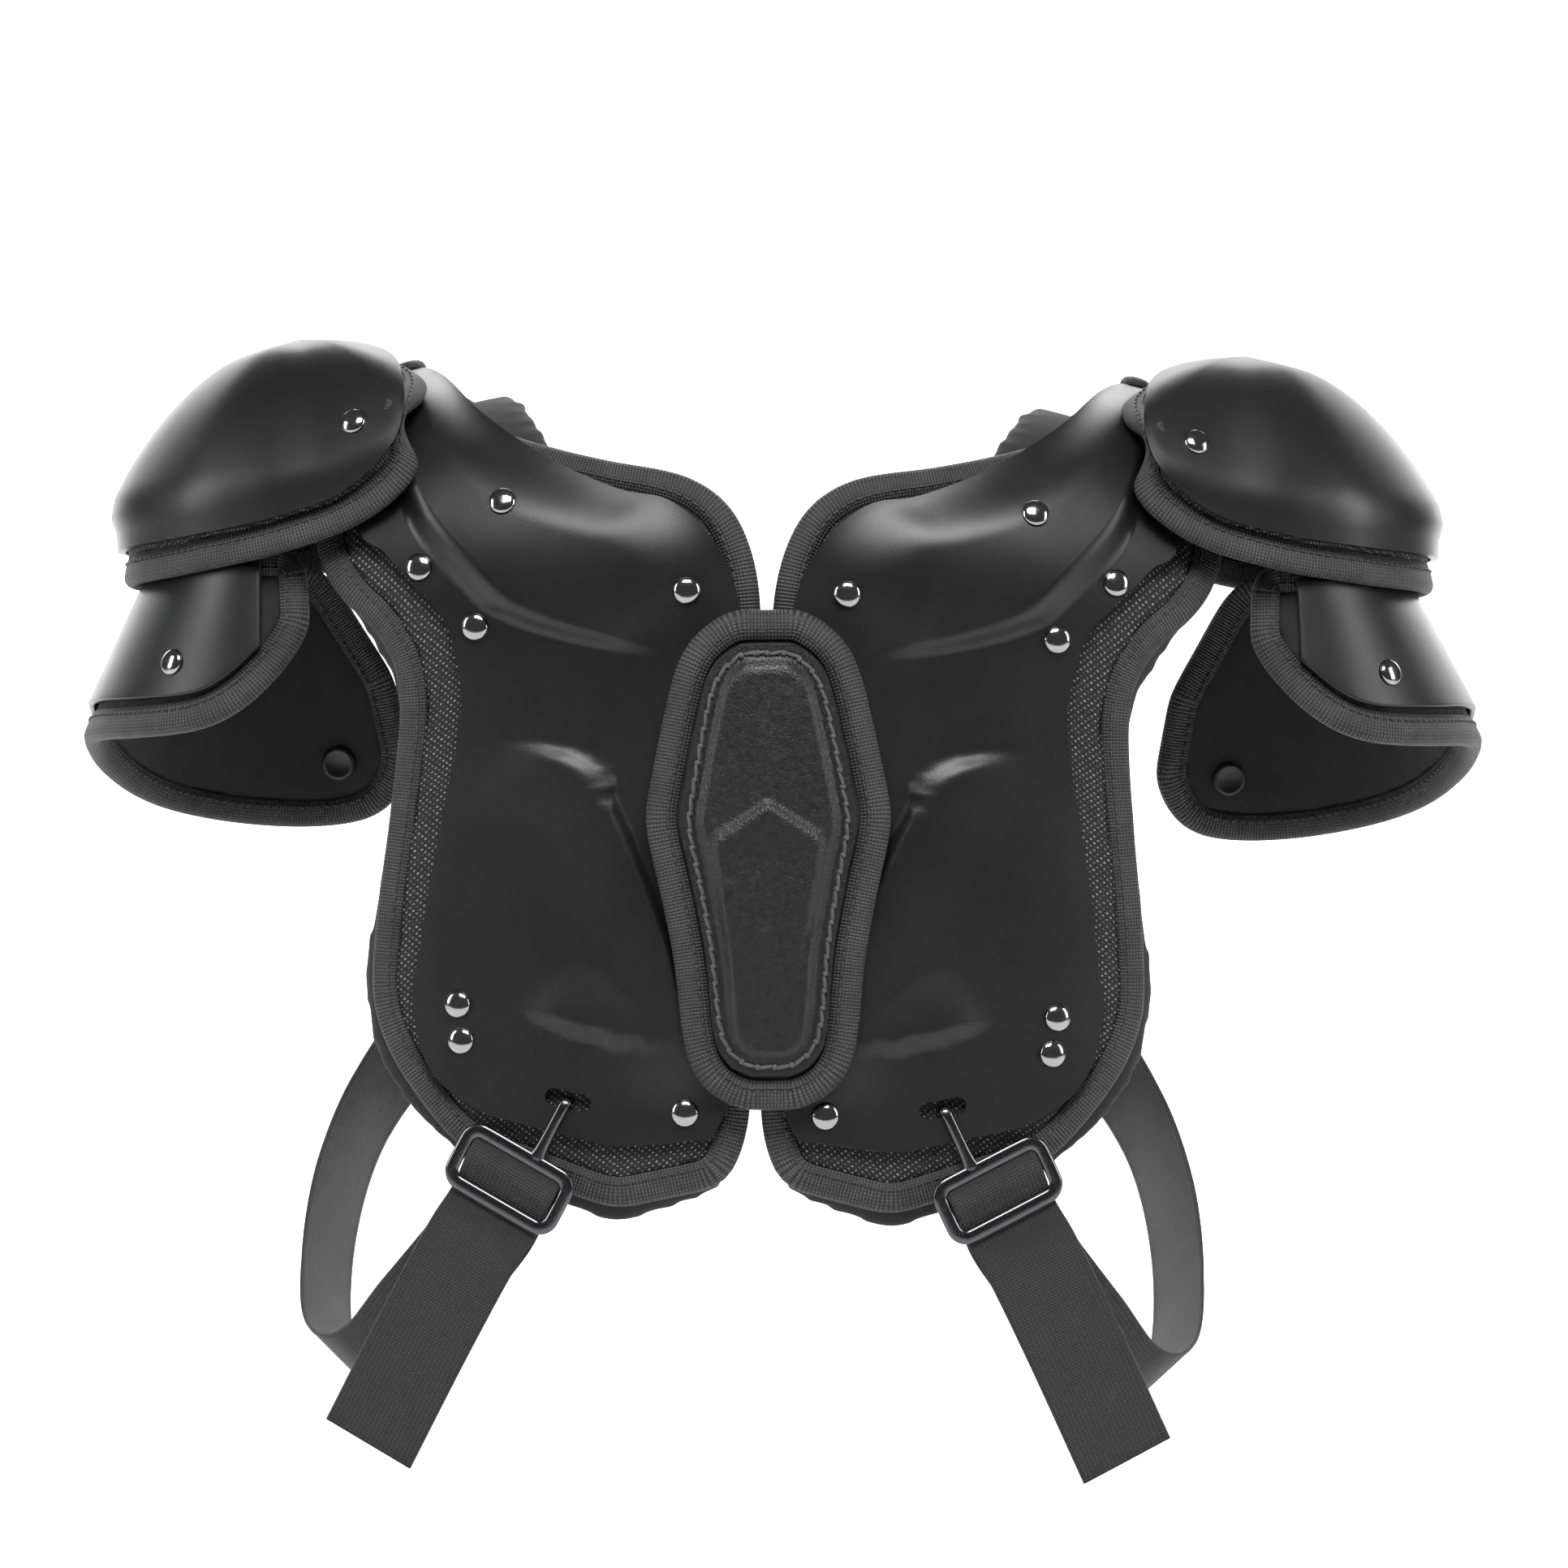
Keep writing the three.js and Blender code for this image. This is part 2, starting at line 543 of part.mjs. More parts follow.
function capBinding(side, spare) {
  const top = -PLATE_THICKNESS - CAP_LAYER_GAP;
  const mirror = vector(side, 1, 1);
  const loop = capTurns.map((turn) => {
    const way = capWay(turn, BINDING_WIDTH);
    const edge = {
      point: capPoint(turn, way).multiply(mirror),
      normal: capNormal(turn, way).multiply(mirror),
      top,
      bottom: top - CAP_PAD_THICKNESS,
    };
    return [edge, { point: capPoint(turn, way * 0.8).multiply(mirror) }];
  });
  return binding(loop, spare);
}

// The arm pad, hung round the upper arm. top and low are shares of its fall; 0 points out, 90 front.
const ARM_ROWS = [
  { angle: -114, top: 0.45, low: 0.78 },
  { angle: -106, top: 0.25, low: 0.95 },
  { angle: -92, top: 0, low: 1 },
  { angle: -72, top: 0, low: 0.98 },
  { angle: -48, top: 0, low: 0.9 },
  { angle: -24, top: 0, low: 0.76 },
  { angle: 0, top: 0, low: 0.64 },
  { angle: 25, top: 0, low: 0.61 },
  { angle: 50, top: 0, low: 0.6 },
  { angle: 72, top: 0, low: 0.56 },
  { angle: 88, top: 0, low: 0.38 },
  { angle: 97, top: 0, low: 0.22 },
];

function armPoint(around, fall) {
  const angle = around / ARM_ARC_RADIUS;
  const width = ARM_HALF_WIDTH + ARM_FLARE_OUT * fall;
  const depth = ARM_HALF_DEPTH + ARM_FLARE_DEPTH * fall;
  return vector(ARM_CENTRE + width * Math.cos(angle), -depth * Math.sin(angle), ARM_TOP - fall);
}

function onArm(around, fall, lift, side = 1) {
  const across = armPoint(around + 1, fall).sub(armPoint(around - 1, fall));
  const along = armPoint(around, fall + 1).sub(armPoint(around, fall - 1));
  const normal = along.cross(across).normalize();
  const angle = around / ARM_ARC_RADIUS;
  if (normal.dot(vector(Math.cos(angle), -Math.sin(angle), 0)) < 0) normal.negate();
  const point = armPoint(around, fall).addScaledVector(normal, lift);
  return point.setX(point.x * side);
}

const armAround = (angle) => radians(angle) * ARM_ARC_RADIUS;

// The flat points of the arm sheet: the way round and the fall
const armGrid = (rows, steps) => rows.map((row) => {
  const points = [];
  for (let step = 0; step <= steps; step += 1) {
    points.push([armAround(row.angle), ARM_FALL * THREE.MathUtils.lerp(row.top, row.low, step / steps)]);
  }
  return points;
});

function armSheet(rows, side, bottom, top, steps) {
  const layer = (lift) => armGrid(rows, steps).map((row) => row.map(([u, v]) => onArm(u, v, lift, side)));
  return sheetSolid(layer(top), layer(bottom));
}

function armBinding(side, spare) {
  const grid = armGrid(ARM_ROWS, ARM_STEPS).map((row) => row.map(([u, v]) => {
    const point = onArm(u, v, 0, side);
    const normal = onArm(u, v, 1, side).sub(point);
    return { point, normal, bottom: 0, top: ARM_PAD_THICKNESS };
  }));
  return binding(gridLoop(grid), spare);
}

const ARM_SHELL_ROWS = ARM_ROWS.filter((row) => row.angle >= -72 && row.angle <= 88)
  .map((row) => ({ angle: row.angle, top: row.top + 0.17, low: Math.max(row.top + 0.3, row.low - 0.05) }));

// The elastic web from the inside of the cap's pad down to the outside of the arm pad. place is a way down
// the cap's section or a share of the arm pad's fall.
const ARM_WEB_ROWS = [
  { on: "cap", place: 0.6 },
  { on: "cap", place: 0.82 },
  { on: "arm", place: -0.11 },
  { on: "arm", place: 0.03 },
  { on: "arm", place: 0.13 },
];

function armWeb(side) {
  const shares = [-0.5, 0, 0.5];
  const capUnder = -PLATE_THICKNESS - CAP_LAYER_GAP - CAP_PAD_THICKNESS - LAYER_GAP / 2 - WEBBING_THICKNESS;
  const face = (lift) => ARM_WEB_ROWS.map(({ on, place }) => shares.map((share) => {
    if (on === "arm") {
      const armOver = ARM_PAD_THICKNESS + LAYER_GAP / 2;
      return onArm(share * ARM_WEB_WIDTH, place * ARM_FALL, armOver + lift, side);
    }
    const turn = (share * ARM_WEB_WIDTH) / (CAP_RIM[1].depth * CAP_HALF_DEPTH);
    const way = capWay(turn, CAP_MARGIN) * place;
    return onCap(turn, way, capUnder + lift).multiply(vector(side, 1, 1));
  }));
  return sheetSolid(face(WEBBING_THICKNESS), face(0));
}

const SHIELD_STEPS = 4;

// The shield over the breastbone, by height from its top; half is a share of its half width
const SHIELD_ROWS = [
  { height: 0, half: 0.3 },
  { height: 0.06, half: 0.64 },
  { height: 0.2, half: 0.82 },
  { height: 0.34, half: 0.95 },
  { height: 0.42, half: 1 },
  { height: 0.54, half: 0.88 },
  { height: 0.72, half: 0.72 },
  { height: 0.9, half: 0.64 },
  { height: 0.97, half: 0.48 },
  { height: 1, half: 0.22 },
];

function onShield(across, height, lift) {
  const tilt = radians(SHIELD_TILT);
  const x = across * Math.cos(tilt) + height * Math.sin(tilt);
  const z = FALL_START - SHIELD_FALL - height * Math.cos(tilt) + across * Math.sin(tilt);
  const depth = bodyHalfDepth(Math.abs(x), SHOULDER_ARC + CHEST_BLEND) + lift;
  return vector(x, -depth, z);
}

// The shield's flat points, a margin in from its edge
function shieldGrid(margin, steps) {
  return SHIELD_ROWS.map((row) => {
    const height = margin + row.height * (SHIELD_HEIGHT - 2 * margin);
    const half = row.half * (SHIELD_HALF_WIDTH - margin);
    const points = [];
    for (let step = 0; step <= steps; step += 1) points.push([half * ((2 * step) / steps - 1), height]);
    return points;
  });
}

function shieldSheet(margin, bottom, top) {
  const grid = shieldGrid(margin, SHIELD_STEPS);
  const layer = (lift) => grid.map((row) => row.map(([across, height]) => onShield(across, height, lift)));
  return sheetSolid(layer(top), layer(bottom));
}

function shieldBinding() {
  const grid = shieldGrid(BINDING_WIDTH, SHIELD_STEPS).map((row) => row.map(([across, height]) => {
    const point = onShield(across, height, 0);
    const bottom = SHIELD_LIFT;
    return { point, normal: vector(0, -1, 0), bottom, top: bottom + SHIELD_PAD_THICKNESS };
  }));
  return binding(gridLoop(grid));
}

// Booleans on closed meshes
function toManifold(geometry) {
  const bare = new THREE.BufferGeometry();
  bare.setAttribute("position", geometry.getAttribute("position").clone());
  if (geometry.index) bare.setIndex(geometry.index.clone());
  const merged = mergeVertices(bare, 1e-4);
  const vertProperties = new Float32Array(merged.getAttribute("position").array);
  const triVerts = new Uint32Array(merged.index.array);
  return new wasm.Manifold(new wasm.Mesh({ numProp: 3, vertProperties, triVerts }));
}

function fromManifold(shape) {
  const { vertProperties, triVerts } = shape.getMesh();
  const geometry = new THREE.BufferGeometry();
  geometry.setAttribute("position", new THREE.BufferAttribute(vertProperties, 3));
  geometry.setIndex(new THREE.BufferAttribute(triVerts, 1));
  return geometry;
}

// A cut can leave slivers on the piece and beside it. The first are smoothed out and the others dropped.
function tidied(shape) {
  const largest = shape.decompose().reduce((best, piece) => (piece.volume() > best.volume() ? piece : best));
  return largest.simplify(CUT_TOLERANCE);
}

// Where a piece stands on a layer: its place, and the turn that points its own +Z out of the layer
function seatOn(out, fall, lift, side) {
  const place = onBody(out, fall, lift);
  const normal = bodyNormal(out, fall);
  place.x *= side;
  normal.x *= side;
  return { place, turn: new THREE.Quaternion().setFromUnitVectors(vector(0, 0, 1), normal) };
}

// The slot in the chest plate that takes the buckle's bar, and the pocket behind it
const SLOT_OUT = SLOT_OUT_SHARE * PLATE_WIDTH;
const SLOT_FALL = SLOT_FALL_SHARE * PLATE_FALL;

function slotCut(side, length, height, depth, lift) {
  const { place, turn } = seatOn(SLOT_OUT, SLOT_FALL, lift, side);
  const geometry = new THREE.BoxGeometry(length, height, depth);
  const normal = vector(0, 0, 1).applyQuaternion(turn);
  const along = vector(side * Math.cos(radians(SLOT_TILT)), 0, Math.sin(radians(SLOT_TILT)));
  along.addScaledVector(normal, -along.dot(normal)).normalize();
  const matrix = new THREE.Matrix4().makeBasis(along, normal.clone().cross(along), normal);
  matrix.setPosition(place);
  geometry.applyMatrix4(matrix);
  return toManifold(geometry);
}

// The hook's own frame of directions on the chest: along its wire, down its shank and out of the chest
function hookFrame(side) {
  const normal = bodyNormal(HOOK_OUT, SLOT_FALL);
  const sideways = vector(-normal.y, normal.x, 0).normalize();
  const tilt = radians(HOOK_TILT);
  const along = sideways.clone().multiplyScalar(Math.cos(tilt)).add(vector(0, 0, Math.sin(tilt)));
  const down = sideways.clone().multiplyScalar(Math.sin(tilt)).add(vector(0, 0, -Math.cos(tilt)));
  const depth = bodyHalfDepth(SLOT_OUT, SLOT_FALL) + PLATE_TOP + HOOK_WIRE;
  const reach = (HOOK_OUT - SLOT_OUT) * (normal.x / -normal.y);
  const centre = vector(HOOK_OUT, -depth + reach, FALL_START - HOOK_FALL);
  return { centre, along, down, normal, place: (u, v, n) => {
    const point = centre.clone().addScaledVector(along, u).addScaledVector(down, v).addScaledVector(normal, n);
    return point.setX(point.x * side);
  } };
}

function roundedRectangle(Path, width, height, radius) {
  const path = new Path();
  const [x, y] = [width / 2 - radius, height / 2 - radius];
  path.moveTo(x, -y - radius);
  path.absarc(x, -y, radius, -Math.PI / 2, 0, false);
  path.absarc(x, y, radius, 0, Math.PI / 2, false);
  path.absarc(-x, y, radius, Math.PI / 2, Math.PI, false);
  path.absarc(-x, -y, radius, Math.PI, Math.PI * 1.5, false);
  return path;
}

function hook(side) {
  const outerWidth = HOOK_WINDOW_WIDTH + 2 * HOOK_WIRE;
  const outerHeight = HOOK_WINDOW_HEIGHT + 2 * HOOK_WIRE;
  const shape = roundedRectangle(THREE.Shape, outerWidth, outerHeight, HOOK_WIRE * 2);
  shape.holes.push(roundedRectangle(THREE.Path, HOOK_WINDOW_WIDTH, HOOK_WINDOW_HEIGHT, HOOK_WIRE));
  const ring = new THREE.ExtrudeGeometry(shape, { depth: HOOK_WIRE, bevelEnabled: false, curveSegments: 3 });
  ring.translate(0, 0, -HOOK_WIRE / 2);
  const { centre, along, down, normal } = hookFrame(side);
  const slotPlace = seatOn(SLOT_OUT, SLOT_FALL, PLATE_TOP, 1).place.sub(centre);
  const [slotAcross, slotDown, slotDepth] = [along, down, normal].map((axis) => slotPlace.dot(axis));
  const shankLength = -outerHeight / 2 - slotDown + HOOK_WIRE;
  const shank = new THREE.BoxGeometry(HOOK_SHANK_WIDTH, shankLength, HOOK_SHANK_DEPTH);
  shank.translate(slotAcross, slotDown - HOOK_WIRE / 2 + shankLength / 2, 0);
  const barDepth = slotDepth - PLATE_THICKNESS - HOOK_BAR_STAND - HOOK_WIRE / 2;
  const neck = new THREE.BoxGeometry(HOOK_NECK_WIDTH, HOOK_SHANK_DEPTH, -barDepth);
  neck.translate(slotAcross, slotDown, barDepth / 2);
  const bar = new THREE.BoxGeometry(HOOK_BAR_LENGTH, HOOK_WIRE, HOOK_WIRE);
  bar.translate(slotAcross, slotDown, barDepth);
  const parts = [ring, shank, neck, bar].map(toManifold);
  const joined = parts.reduce((sum, part) => sum.add(part));
  const geometry = fromManifold(joined);
  const matrix = new THREE.Matrix4().makeBasis(along, down, normal).setPosition(centre);
  if (side < 0) matrix.premultiply(new THREE.Matrix4().makeScale(-1, 1, 1));
  geometry.applyMatrix4(matrix);
  const position = geometry.getAttribute("position");
  const points = [];
  for (let index = 0; index < position.count; index += 1) {
    points.push(new THREE.Vector3().fromBufferAttribute(position, index));
  }
  const faces = [];
  for (let index = 0; index < geometry.index.count; index += 3) {
    faces.push([0, 1, 2].map((corner) => geometry.index.getX(index + corner)));
  }
  return solid(points, faces);
}

// The webbing's way after it leaves the buckle downwards, behind its own free end: a loop out past the
// ribs and up to the back plate. Shares of the loop's reach out, depth and fall, and the way its width lies.
const LOOP_ROUTE = [
  { out: 0.74, depth: -1.03, fall: 0.97, width: [0.8, 0.3, 0.5] },
  { out: 0.85, depth: -0.82, fall: 1.04, width: [0.75, 0.1, 0.6] },
  { out: 0.95, depth: -0.5, fall: 1.04, width: [0.6, -0.35, 0.65] },
  { out: 1, depth: -0.12, fall: 0.98, width: [0.45, -0.6, 0.6] },
  { out: 1, depth: 0.3, fall: 0.88, width: [0.4, -0.6, 0.65] },
  { out: 0.94, depth: 0.72, fall: 0.78, width: [0.3, -0.5, 0.8] },
  { out: 0.82, depth: 1.06, fall: 0.7, width: [0.2, -0.2, 0.95] },
  { out: 0.66, depth: 1.14, fall: 0.66, width: [0.1, 0, 1] },
];

// Its fold round the buckle's lower wire, from the free end to behind it: the share of the free end below
// the wire, how far past the wire and to which side of it in clearances, and the slack out from the chest
const BUCKLE_FOLD = [
  { free: 1, past: 0, side: 1, slack: 1 },
  { free: 0.5, past: 0, side: 1, slack: 3 },
  { free: 0.09, past: 0, side: 1, slack: 1 },
  { free: 0, past: 0, side: 1, slack: 0.5 },
  { free: 0, past: -1, side: 0, slack: 0 },
  { free: 0, past: 0, side: -1, slack: -0.5 },
  { free: 0.09, past: 0, side: -1, slack: -1 },
];

function strap(side) {
  const { place, along } = hookFrame(1);
  const barAt = HOOK_WINDOW_HEIGHT / 2 + HOOK_WIRE / 2;
  const clear = HOOK_WIRE / 2 + FOLD_CLEARANCE + WEBBING_THICKNESS / 2;
  const stations = BUCKLE_FOLD.map((row) => {
    const down = barAt + row.free * FREE_END + row.past * clear;
    return { point: place(0, down, row.side * clear + row.slack), width: along.clone() };
  });
  for (const row of LOOP_ROUTE) {
    const up = FALL_START - LOOP_START - row.fall * LOOP_FALL;
    const point = vector(row.out * LOOP_OUT, row.depth * LOOP_DEPTH, up);
    stations.push({ point, width: vector(...row.width) });
  }
  const curve = new THREE.CatmullRomCurve3(stations.map((station) => station.point), false, "centripetal");
  const sections = [];
  const last = stations.length - 1;
  const perStation = 2;
  for (let index = 0; index <= last * perStation; index += 1) {
    const share = index / (last * perStation);
    const from = Math.min(last - 1, Math.floor(index / perStation));
    const part = index / perStation - from;
    const point = curve.getPoint(share);
    const tangent = curve.getTangent(share);
    const width = stations[from].width.clone().lerp(stations[from + 1].width, part);
    width.addScaledVector(tangent, -width.dot(tangent)).normalize().multiplyScalar(WEBBING_WIDTH / 2);
    const normal = tangent.clone().cross(width).setLength(WEBBING_THICKNESS / 2);
    const corners = [[-1, -1], [1, -1], [1, 1], [-1, 1]];
    sections.push(corners.map(([w, n]) => {
      const corner = point.clone().addScaledVector(width, w).addScaledVector(normal, n);
      return corner.setX(corner.x * side);
    }));
  }
  return bandSolid(sections, false);
}

// A rivet's domed head, its flat side on the layer below
function rivetGeometry(radius, height) {
  const profile = [
    [0, 0],
    [radius, 0],
    [radius * RIVET_SHOULDER, height * RIVET_SHOULDER_HEIGHT],
    [0, height],
  ];
  const points = profile.map(([x, y]) => new THREE.Vector2(x, y));
  const geometry = new THREE.LatheGeometry(points, RIVET_SIDES);
  geometry.rotateX(Math.PI / 2);
  return geometry;
}

const RIVETS = [
  { name: "rivet_arch", out: 0.783, fall: 0.297, raised: 1 },
  { name: "rivet_sternum", out: 0.242, fall: 0.409, raised: 0.4 },
  { name: "rivet_strip_upper", out: 1.05, fall: 0.327, raised: 0.06 },
  { name: "rivet_strip_lower", out: 0.88, fall: 0.392, raised: 0 },
  { name: "rivet_side_upper", out: 0.883, fall: 0.804, raised: 0 },
  { name: "rivet_side_lower", out: 0.871, fall: 0.844, raised: 0 },
  { name: "rivet_bottom", out: 0.21, fall: 0.971, raised: 0 },
];

// Where the cap's rivet, the arm plate's rivet and the arm pad's button sit: the way round, and the share of
// the way down
const CAP_RIVET = { turn: 4.6, way: 0.8 };
const ARM_RIVET = { angle: 60, fall: 0.4 };
const ARM_BUTTON = { angle: -98, fall: 0.8 };

const shoulderPad = new THREE.Group();

function add(parent, name, geometry, material) {
  const mesh = new THREE.Mesh(geometry, material);
  mesh.name = name;
  parent.add(mesh);
  return mesh;
}

function buildSide(side, word) {
  // The tape follows the foam's edge and its faces, also where they are thinner
  const edgeTape = (rows, innerSteps, outerSteps, spread, spare) => {
    const grid = rows.map((row) => rowPoints(row, innerSteps, outerSteps).map(([out, fall]) => ({
      point: onBody(out, fall, 0).multiply(vector(side, 1, 1)),
      normal: bodyNormal(out, fall).multiply(vector(side, 1, 1)),
      bottom: LINER_BOTTOM + spread - LINER_BOTTOM_THINNING * thinning(fall),
      top: LINER_TOP + spread - LINER_TOP_THINNING * thinning(fall),
    })));
    return binding(gridLoop(grid), spare);
  };
  const slot = slotCut(side, SLOT_LENGTH, SLOT_HEIGHT, PLATE_THICKNESS * 3, PLATE_TOP);
  const pocket = slotCut(side, POCKET_LENGTH, POCKET_HEIGHT, POCKET_DEPTH, LINER_TOP);
  const plate = [level(PLATE_BOTTOM), level(PLATE_TOP)];
  const foam = [level(LINER_BOTTOM, LINER_BOTTOM_THINNING), level(LINER_TOP, LINER_TOP_THINNING)];
  const outwards = (faces, lift) => faces.map((face) => level(face.lift + lift, face.lowered));
  const frontShell = toManifold(panel(FRONT_SHELL_ROWS, side, ...plate, 2, 3)).subtract(slot);
  const frontFoam = toManifold(panel(FRONT_LINER_ROWS, side, ...foam, 2, 3));
  const frontLiner = frontFoam.subtract(pocket);
  add(shoulderPad, `front_shell_${word}`, fromManifold(tidied(frontShell)), plastic);
  add(shoulderPad, `front_liner_${word}`, fromManifold(frontLiner), mesh_cloth);
  add(shoulderPad, `front_binding_${word}`, edgeTape(FRONT_LINER_ROWS, 2, 3, 0), tape);
  const softFaces = [level(0), level(PAD_THICKNESS, PAD_THINNING)];
  const bodyPad = panel(BODY_PAD_ROWS, side, ...softFaces, 2, 2, PAD_EDGE_ROUNDING);
  add(shoulderPad, `body_pad_${word}`, bodyPad, soft_cloth);
  const backPlate = outwards(plate, 2 * BACK_SPREAD);
  add(shoulderPad, `back_shell_${word}`, panel(BACK_SHELL_ROWS, side, ...backPlate, 2, 2), plastic);
  const backFoam = outwards(foam, BACK_SPREAD);
  add(shoulderPad, `back_liner_${word}`, panel(BACK_LINER_ROWS, side, ...backFoam, 2, 2), mesh_cloth);
  add(shoulderPad, `back_binding_${word}`, edgeTape(BACK_LINER_ROWS, 2, 2, BACK_SPREAD), tape);

  const hingeRows = [-1, -0.5, 0, 0.5, 1].map((share) => ({
    innerOut: 1.15, innerFall: (share * HINGE_LENGTH) / PLATE_FALL,
    middleOut: 1.19, middleFall: (share * HINGE_LENGTH) / PLATE_FALL,
    outerOut: 1.23, outerFall: (share * HINGE_LENGTH) / PLATE_FALL, raise: 0,
  }));
  const hingeLift = PLATE_TOP + HINGE_STAND;
  const hinge = panel(hingeRows, side, level(hingeLift), level(hingeLift + PLATE_THICKNESS), 1, 1);
  add(shoulderPad, `shoulder_hinge_${word}`, hinge, tape);

  add(shoulderPad, `t_hook_${word}`, hook(side), dark_metal);
  add(shoulderPad, `strap_${word}`, strap(side), tape);
  const rivet = rivetGeometry(RIVET_RADIUS, RIVET_HEIGHT);
  for (const row of RIVETS) {
    const lift = PLATE_TOP + TOUCH_GAP + ARCH_RAISE * row.raised;
    const { place, turn } = seatOn(row.out * PLATE_WIDTH, row.fall * PLATE_FALL, lift, side);
    const mesh = add(shoulderPad, `${row.name}_${word}`, rivet.clone(), dark_metal);
    mesh.position.copy(place);
    mesh.quaternion.copy(turn);
  }

  const seatOnArm = (mesh, { angle, fall }, lift, facing) => {
    const seat = onArm(armAround(angle), ARM_FALL * fall, lift, side);
    const normal = onArm(armAround(angle), ARM_FALL * fall, lift + facing, side).sub(seat).normalize();
    mesh.position.copy(seat);
    mesh.quaternion.setFromUnitVectors(vector(0, 0, 1), normal);
  };

  // The cap and the arm plate share one small turn about the shoulder, up on one side, down on the other
  const turned = new THREE.Group();
  turned.position.set(side * CAP_PIVOT_OUT, 0, CAP_PIVOT_UP);
  turned.rotation.y = radians(-CAP_TURN);
  const inner = new THREE.Group();
  inner.position.set(-side * CAP_PIVOT_OUT, 0, -CAP_PIVOT_UP);
  turned.add(inner);
  shoulderPad.add(turned);
  add(inner, `cap_shell_${word}`, capShell(side), plastic);
  const capCut = toManifold(capPad(side)).subtract(toManifold(capBinding(side, TOUCH_GAP)));
  add(inner, `cap_pad_${word}`, fromManifold(tidied(capCut)), mesh_cloth);
  add(inner, `cap_binding_${word}`, capBinding(side), tape);
  const armSolid = toManifold(armSheet(ARM_ROWS, side, 0, ARM_PAD_THICKNESS, ARM_STEPS));
  const armFoam = armSolid.subtract(toManifold(armBinding(side, TOUCH_GAP)));
  add(inner, `arm_pad_${word}`, fromManifold(tidied(armFoam)), mesh_cloth);
  const armShellBottom = ARM_PAD_THICKNESS + LAYER_GAP;
  const armShell = armSheet(ARM_SHELL_ROWS, side, armShellBottom, armShellBottom + PLATE_THICKNESS, 2);
  add(inner, `arm_shell_${word}`, armShell, plastic);
  add(inner, `arm_binding_${word}`, armBinding(side), tape);
  add(inner, `arm_web_${word}`, armWeb(side), tape);
  const capRivet = add(inner, `rivet_cap_${word}`, rivet.clone(), dark_metal);
  const mirror = vector(side, 1, 1);
  const capWayDown = CAP_RIVET.way * capWay(CAP_RIVET.turn, CAP_MARGIN);
  capRivet.position.copy(onCap(CAP_RIVET.turn, capWayDown, TOUCH_GAP).multiply(mirror));
  const capOut = capNormal(CAP_RIVET.turn, capWayDown).multiply(mirror);
  capRivet.quaternion.setFromUnitVectors(vector(0, 0, 1), capOut);
  const armRivet = add(inner, `rivet_arm_${word}`, rivet.clone(), dark_metal);
  const armLift = armShellBottom + PLATE_THICKNESS + TOUCH_GAP - ARM_RIVET_SINK;
  seatOnArm(armRivet, ARM_RIVET, armLift, 1);
  const button = add(inner, `arm_button_${word}`, rivetGeometry(BUTTON_RADIUS, RIVET_HEIGHT), plastic);
  seatOnArm(button, ARM_BUTTON, -BUTTON_STAND, -1);
}

buildSide(-1, "left");
buildSide(1, "right");

// The breastbone shield lies on both chest plates
const shieldPad = shieldSheet(BINDING_WIDTH, SHIELD_LIFT, SHIELD_LIFT + SHIELD_PAD_THICKNESS);
add(shoulderPad, "sternum_pad", shieldPad, mesh_cloth);
add(shoulderPad, "sternum_binding", shieldBinding(), tape);
const shieldPlateTop = SHIELD_PLATE_LIFT + PLATE_THICKNESS;
add(shoulderPad, "sternum_shell", shieldSheet(SHIELD_MARGIN, SHIELD_PLATE_LIFT, shieldPlateTop), leather);

// The plain plate across the back, with its flat face outwards
const bridgeFace = BODY_HALF_DEPTH + PLATE_TOP + 2 * BACK_SPREAD + TOUCH_GAP + PLATE_THICKNESS;
const bridge = new THREE.BoxGeometry(BRIDGE_WIDTH, PLATE_THICKNESS, BRIDGE_HEIGHT);
const bridgeMesh = add(shoulderPad, "back_bridge", bridge, plastic);
bridgeMesh.position.set(0, bridgeFace - PLATE_THICKNESS / 2, FALL_START - BRIDGE_FALL);

export default shoulderPad;
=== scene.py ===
import math

import bmesh
import bpy
from mathutils import Matrix, Vector
from mathutils.bvhtree import BVHTree


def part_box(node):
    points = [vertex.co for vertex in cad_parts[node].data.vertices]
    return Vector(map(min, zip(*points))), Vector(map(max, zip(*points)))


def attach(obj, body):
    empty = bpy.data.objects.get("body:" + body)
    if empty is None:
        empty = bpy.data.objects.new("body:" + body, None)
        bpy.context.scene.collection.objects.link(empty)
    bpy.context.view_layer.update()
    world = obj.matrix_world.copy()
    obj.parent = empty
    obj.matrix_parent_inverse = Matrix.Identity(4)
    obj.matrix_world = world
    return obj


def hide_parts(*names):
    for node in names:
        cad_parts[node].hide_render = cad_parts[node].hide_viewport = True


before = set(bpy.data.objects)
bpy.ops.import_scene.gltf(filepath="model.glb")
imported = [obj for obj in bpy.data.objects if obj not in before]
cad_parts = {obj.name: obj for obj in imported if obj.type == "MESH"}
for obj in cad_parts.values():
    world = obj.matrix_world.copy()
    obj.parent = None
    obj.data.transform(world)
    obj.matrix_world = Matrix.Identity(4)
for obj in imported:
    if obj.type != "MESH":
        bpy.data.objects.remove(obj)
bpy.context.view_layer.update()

# The camera stands level in front of the chest, a little left of the pad's middle as the picture shows it,
# and is turned a little about its own axis, so the pad leans down to the right.
CAMERA_PLACE = Vector((0.008, -2.12, -0.135))
CAMERA_ROLL = math.radians(1.3)
camera_data = bpy.data.cameras.new("camera")
camera_data.lens = 122.6
camera_data.sensor_width = 36
camera = bpy.data.objects.new("camera", camera_data)
bpy.context.scene.collection.objects.link(camera)
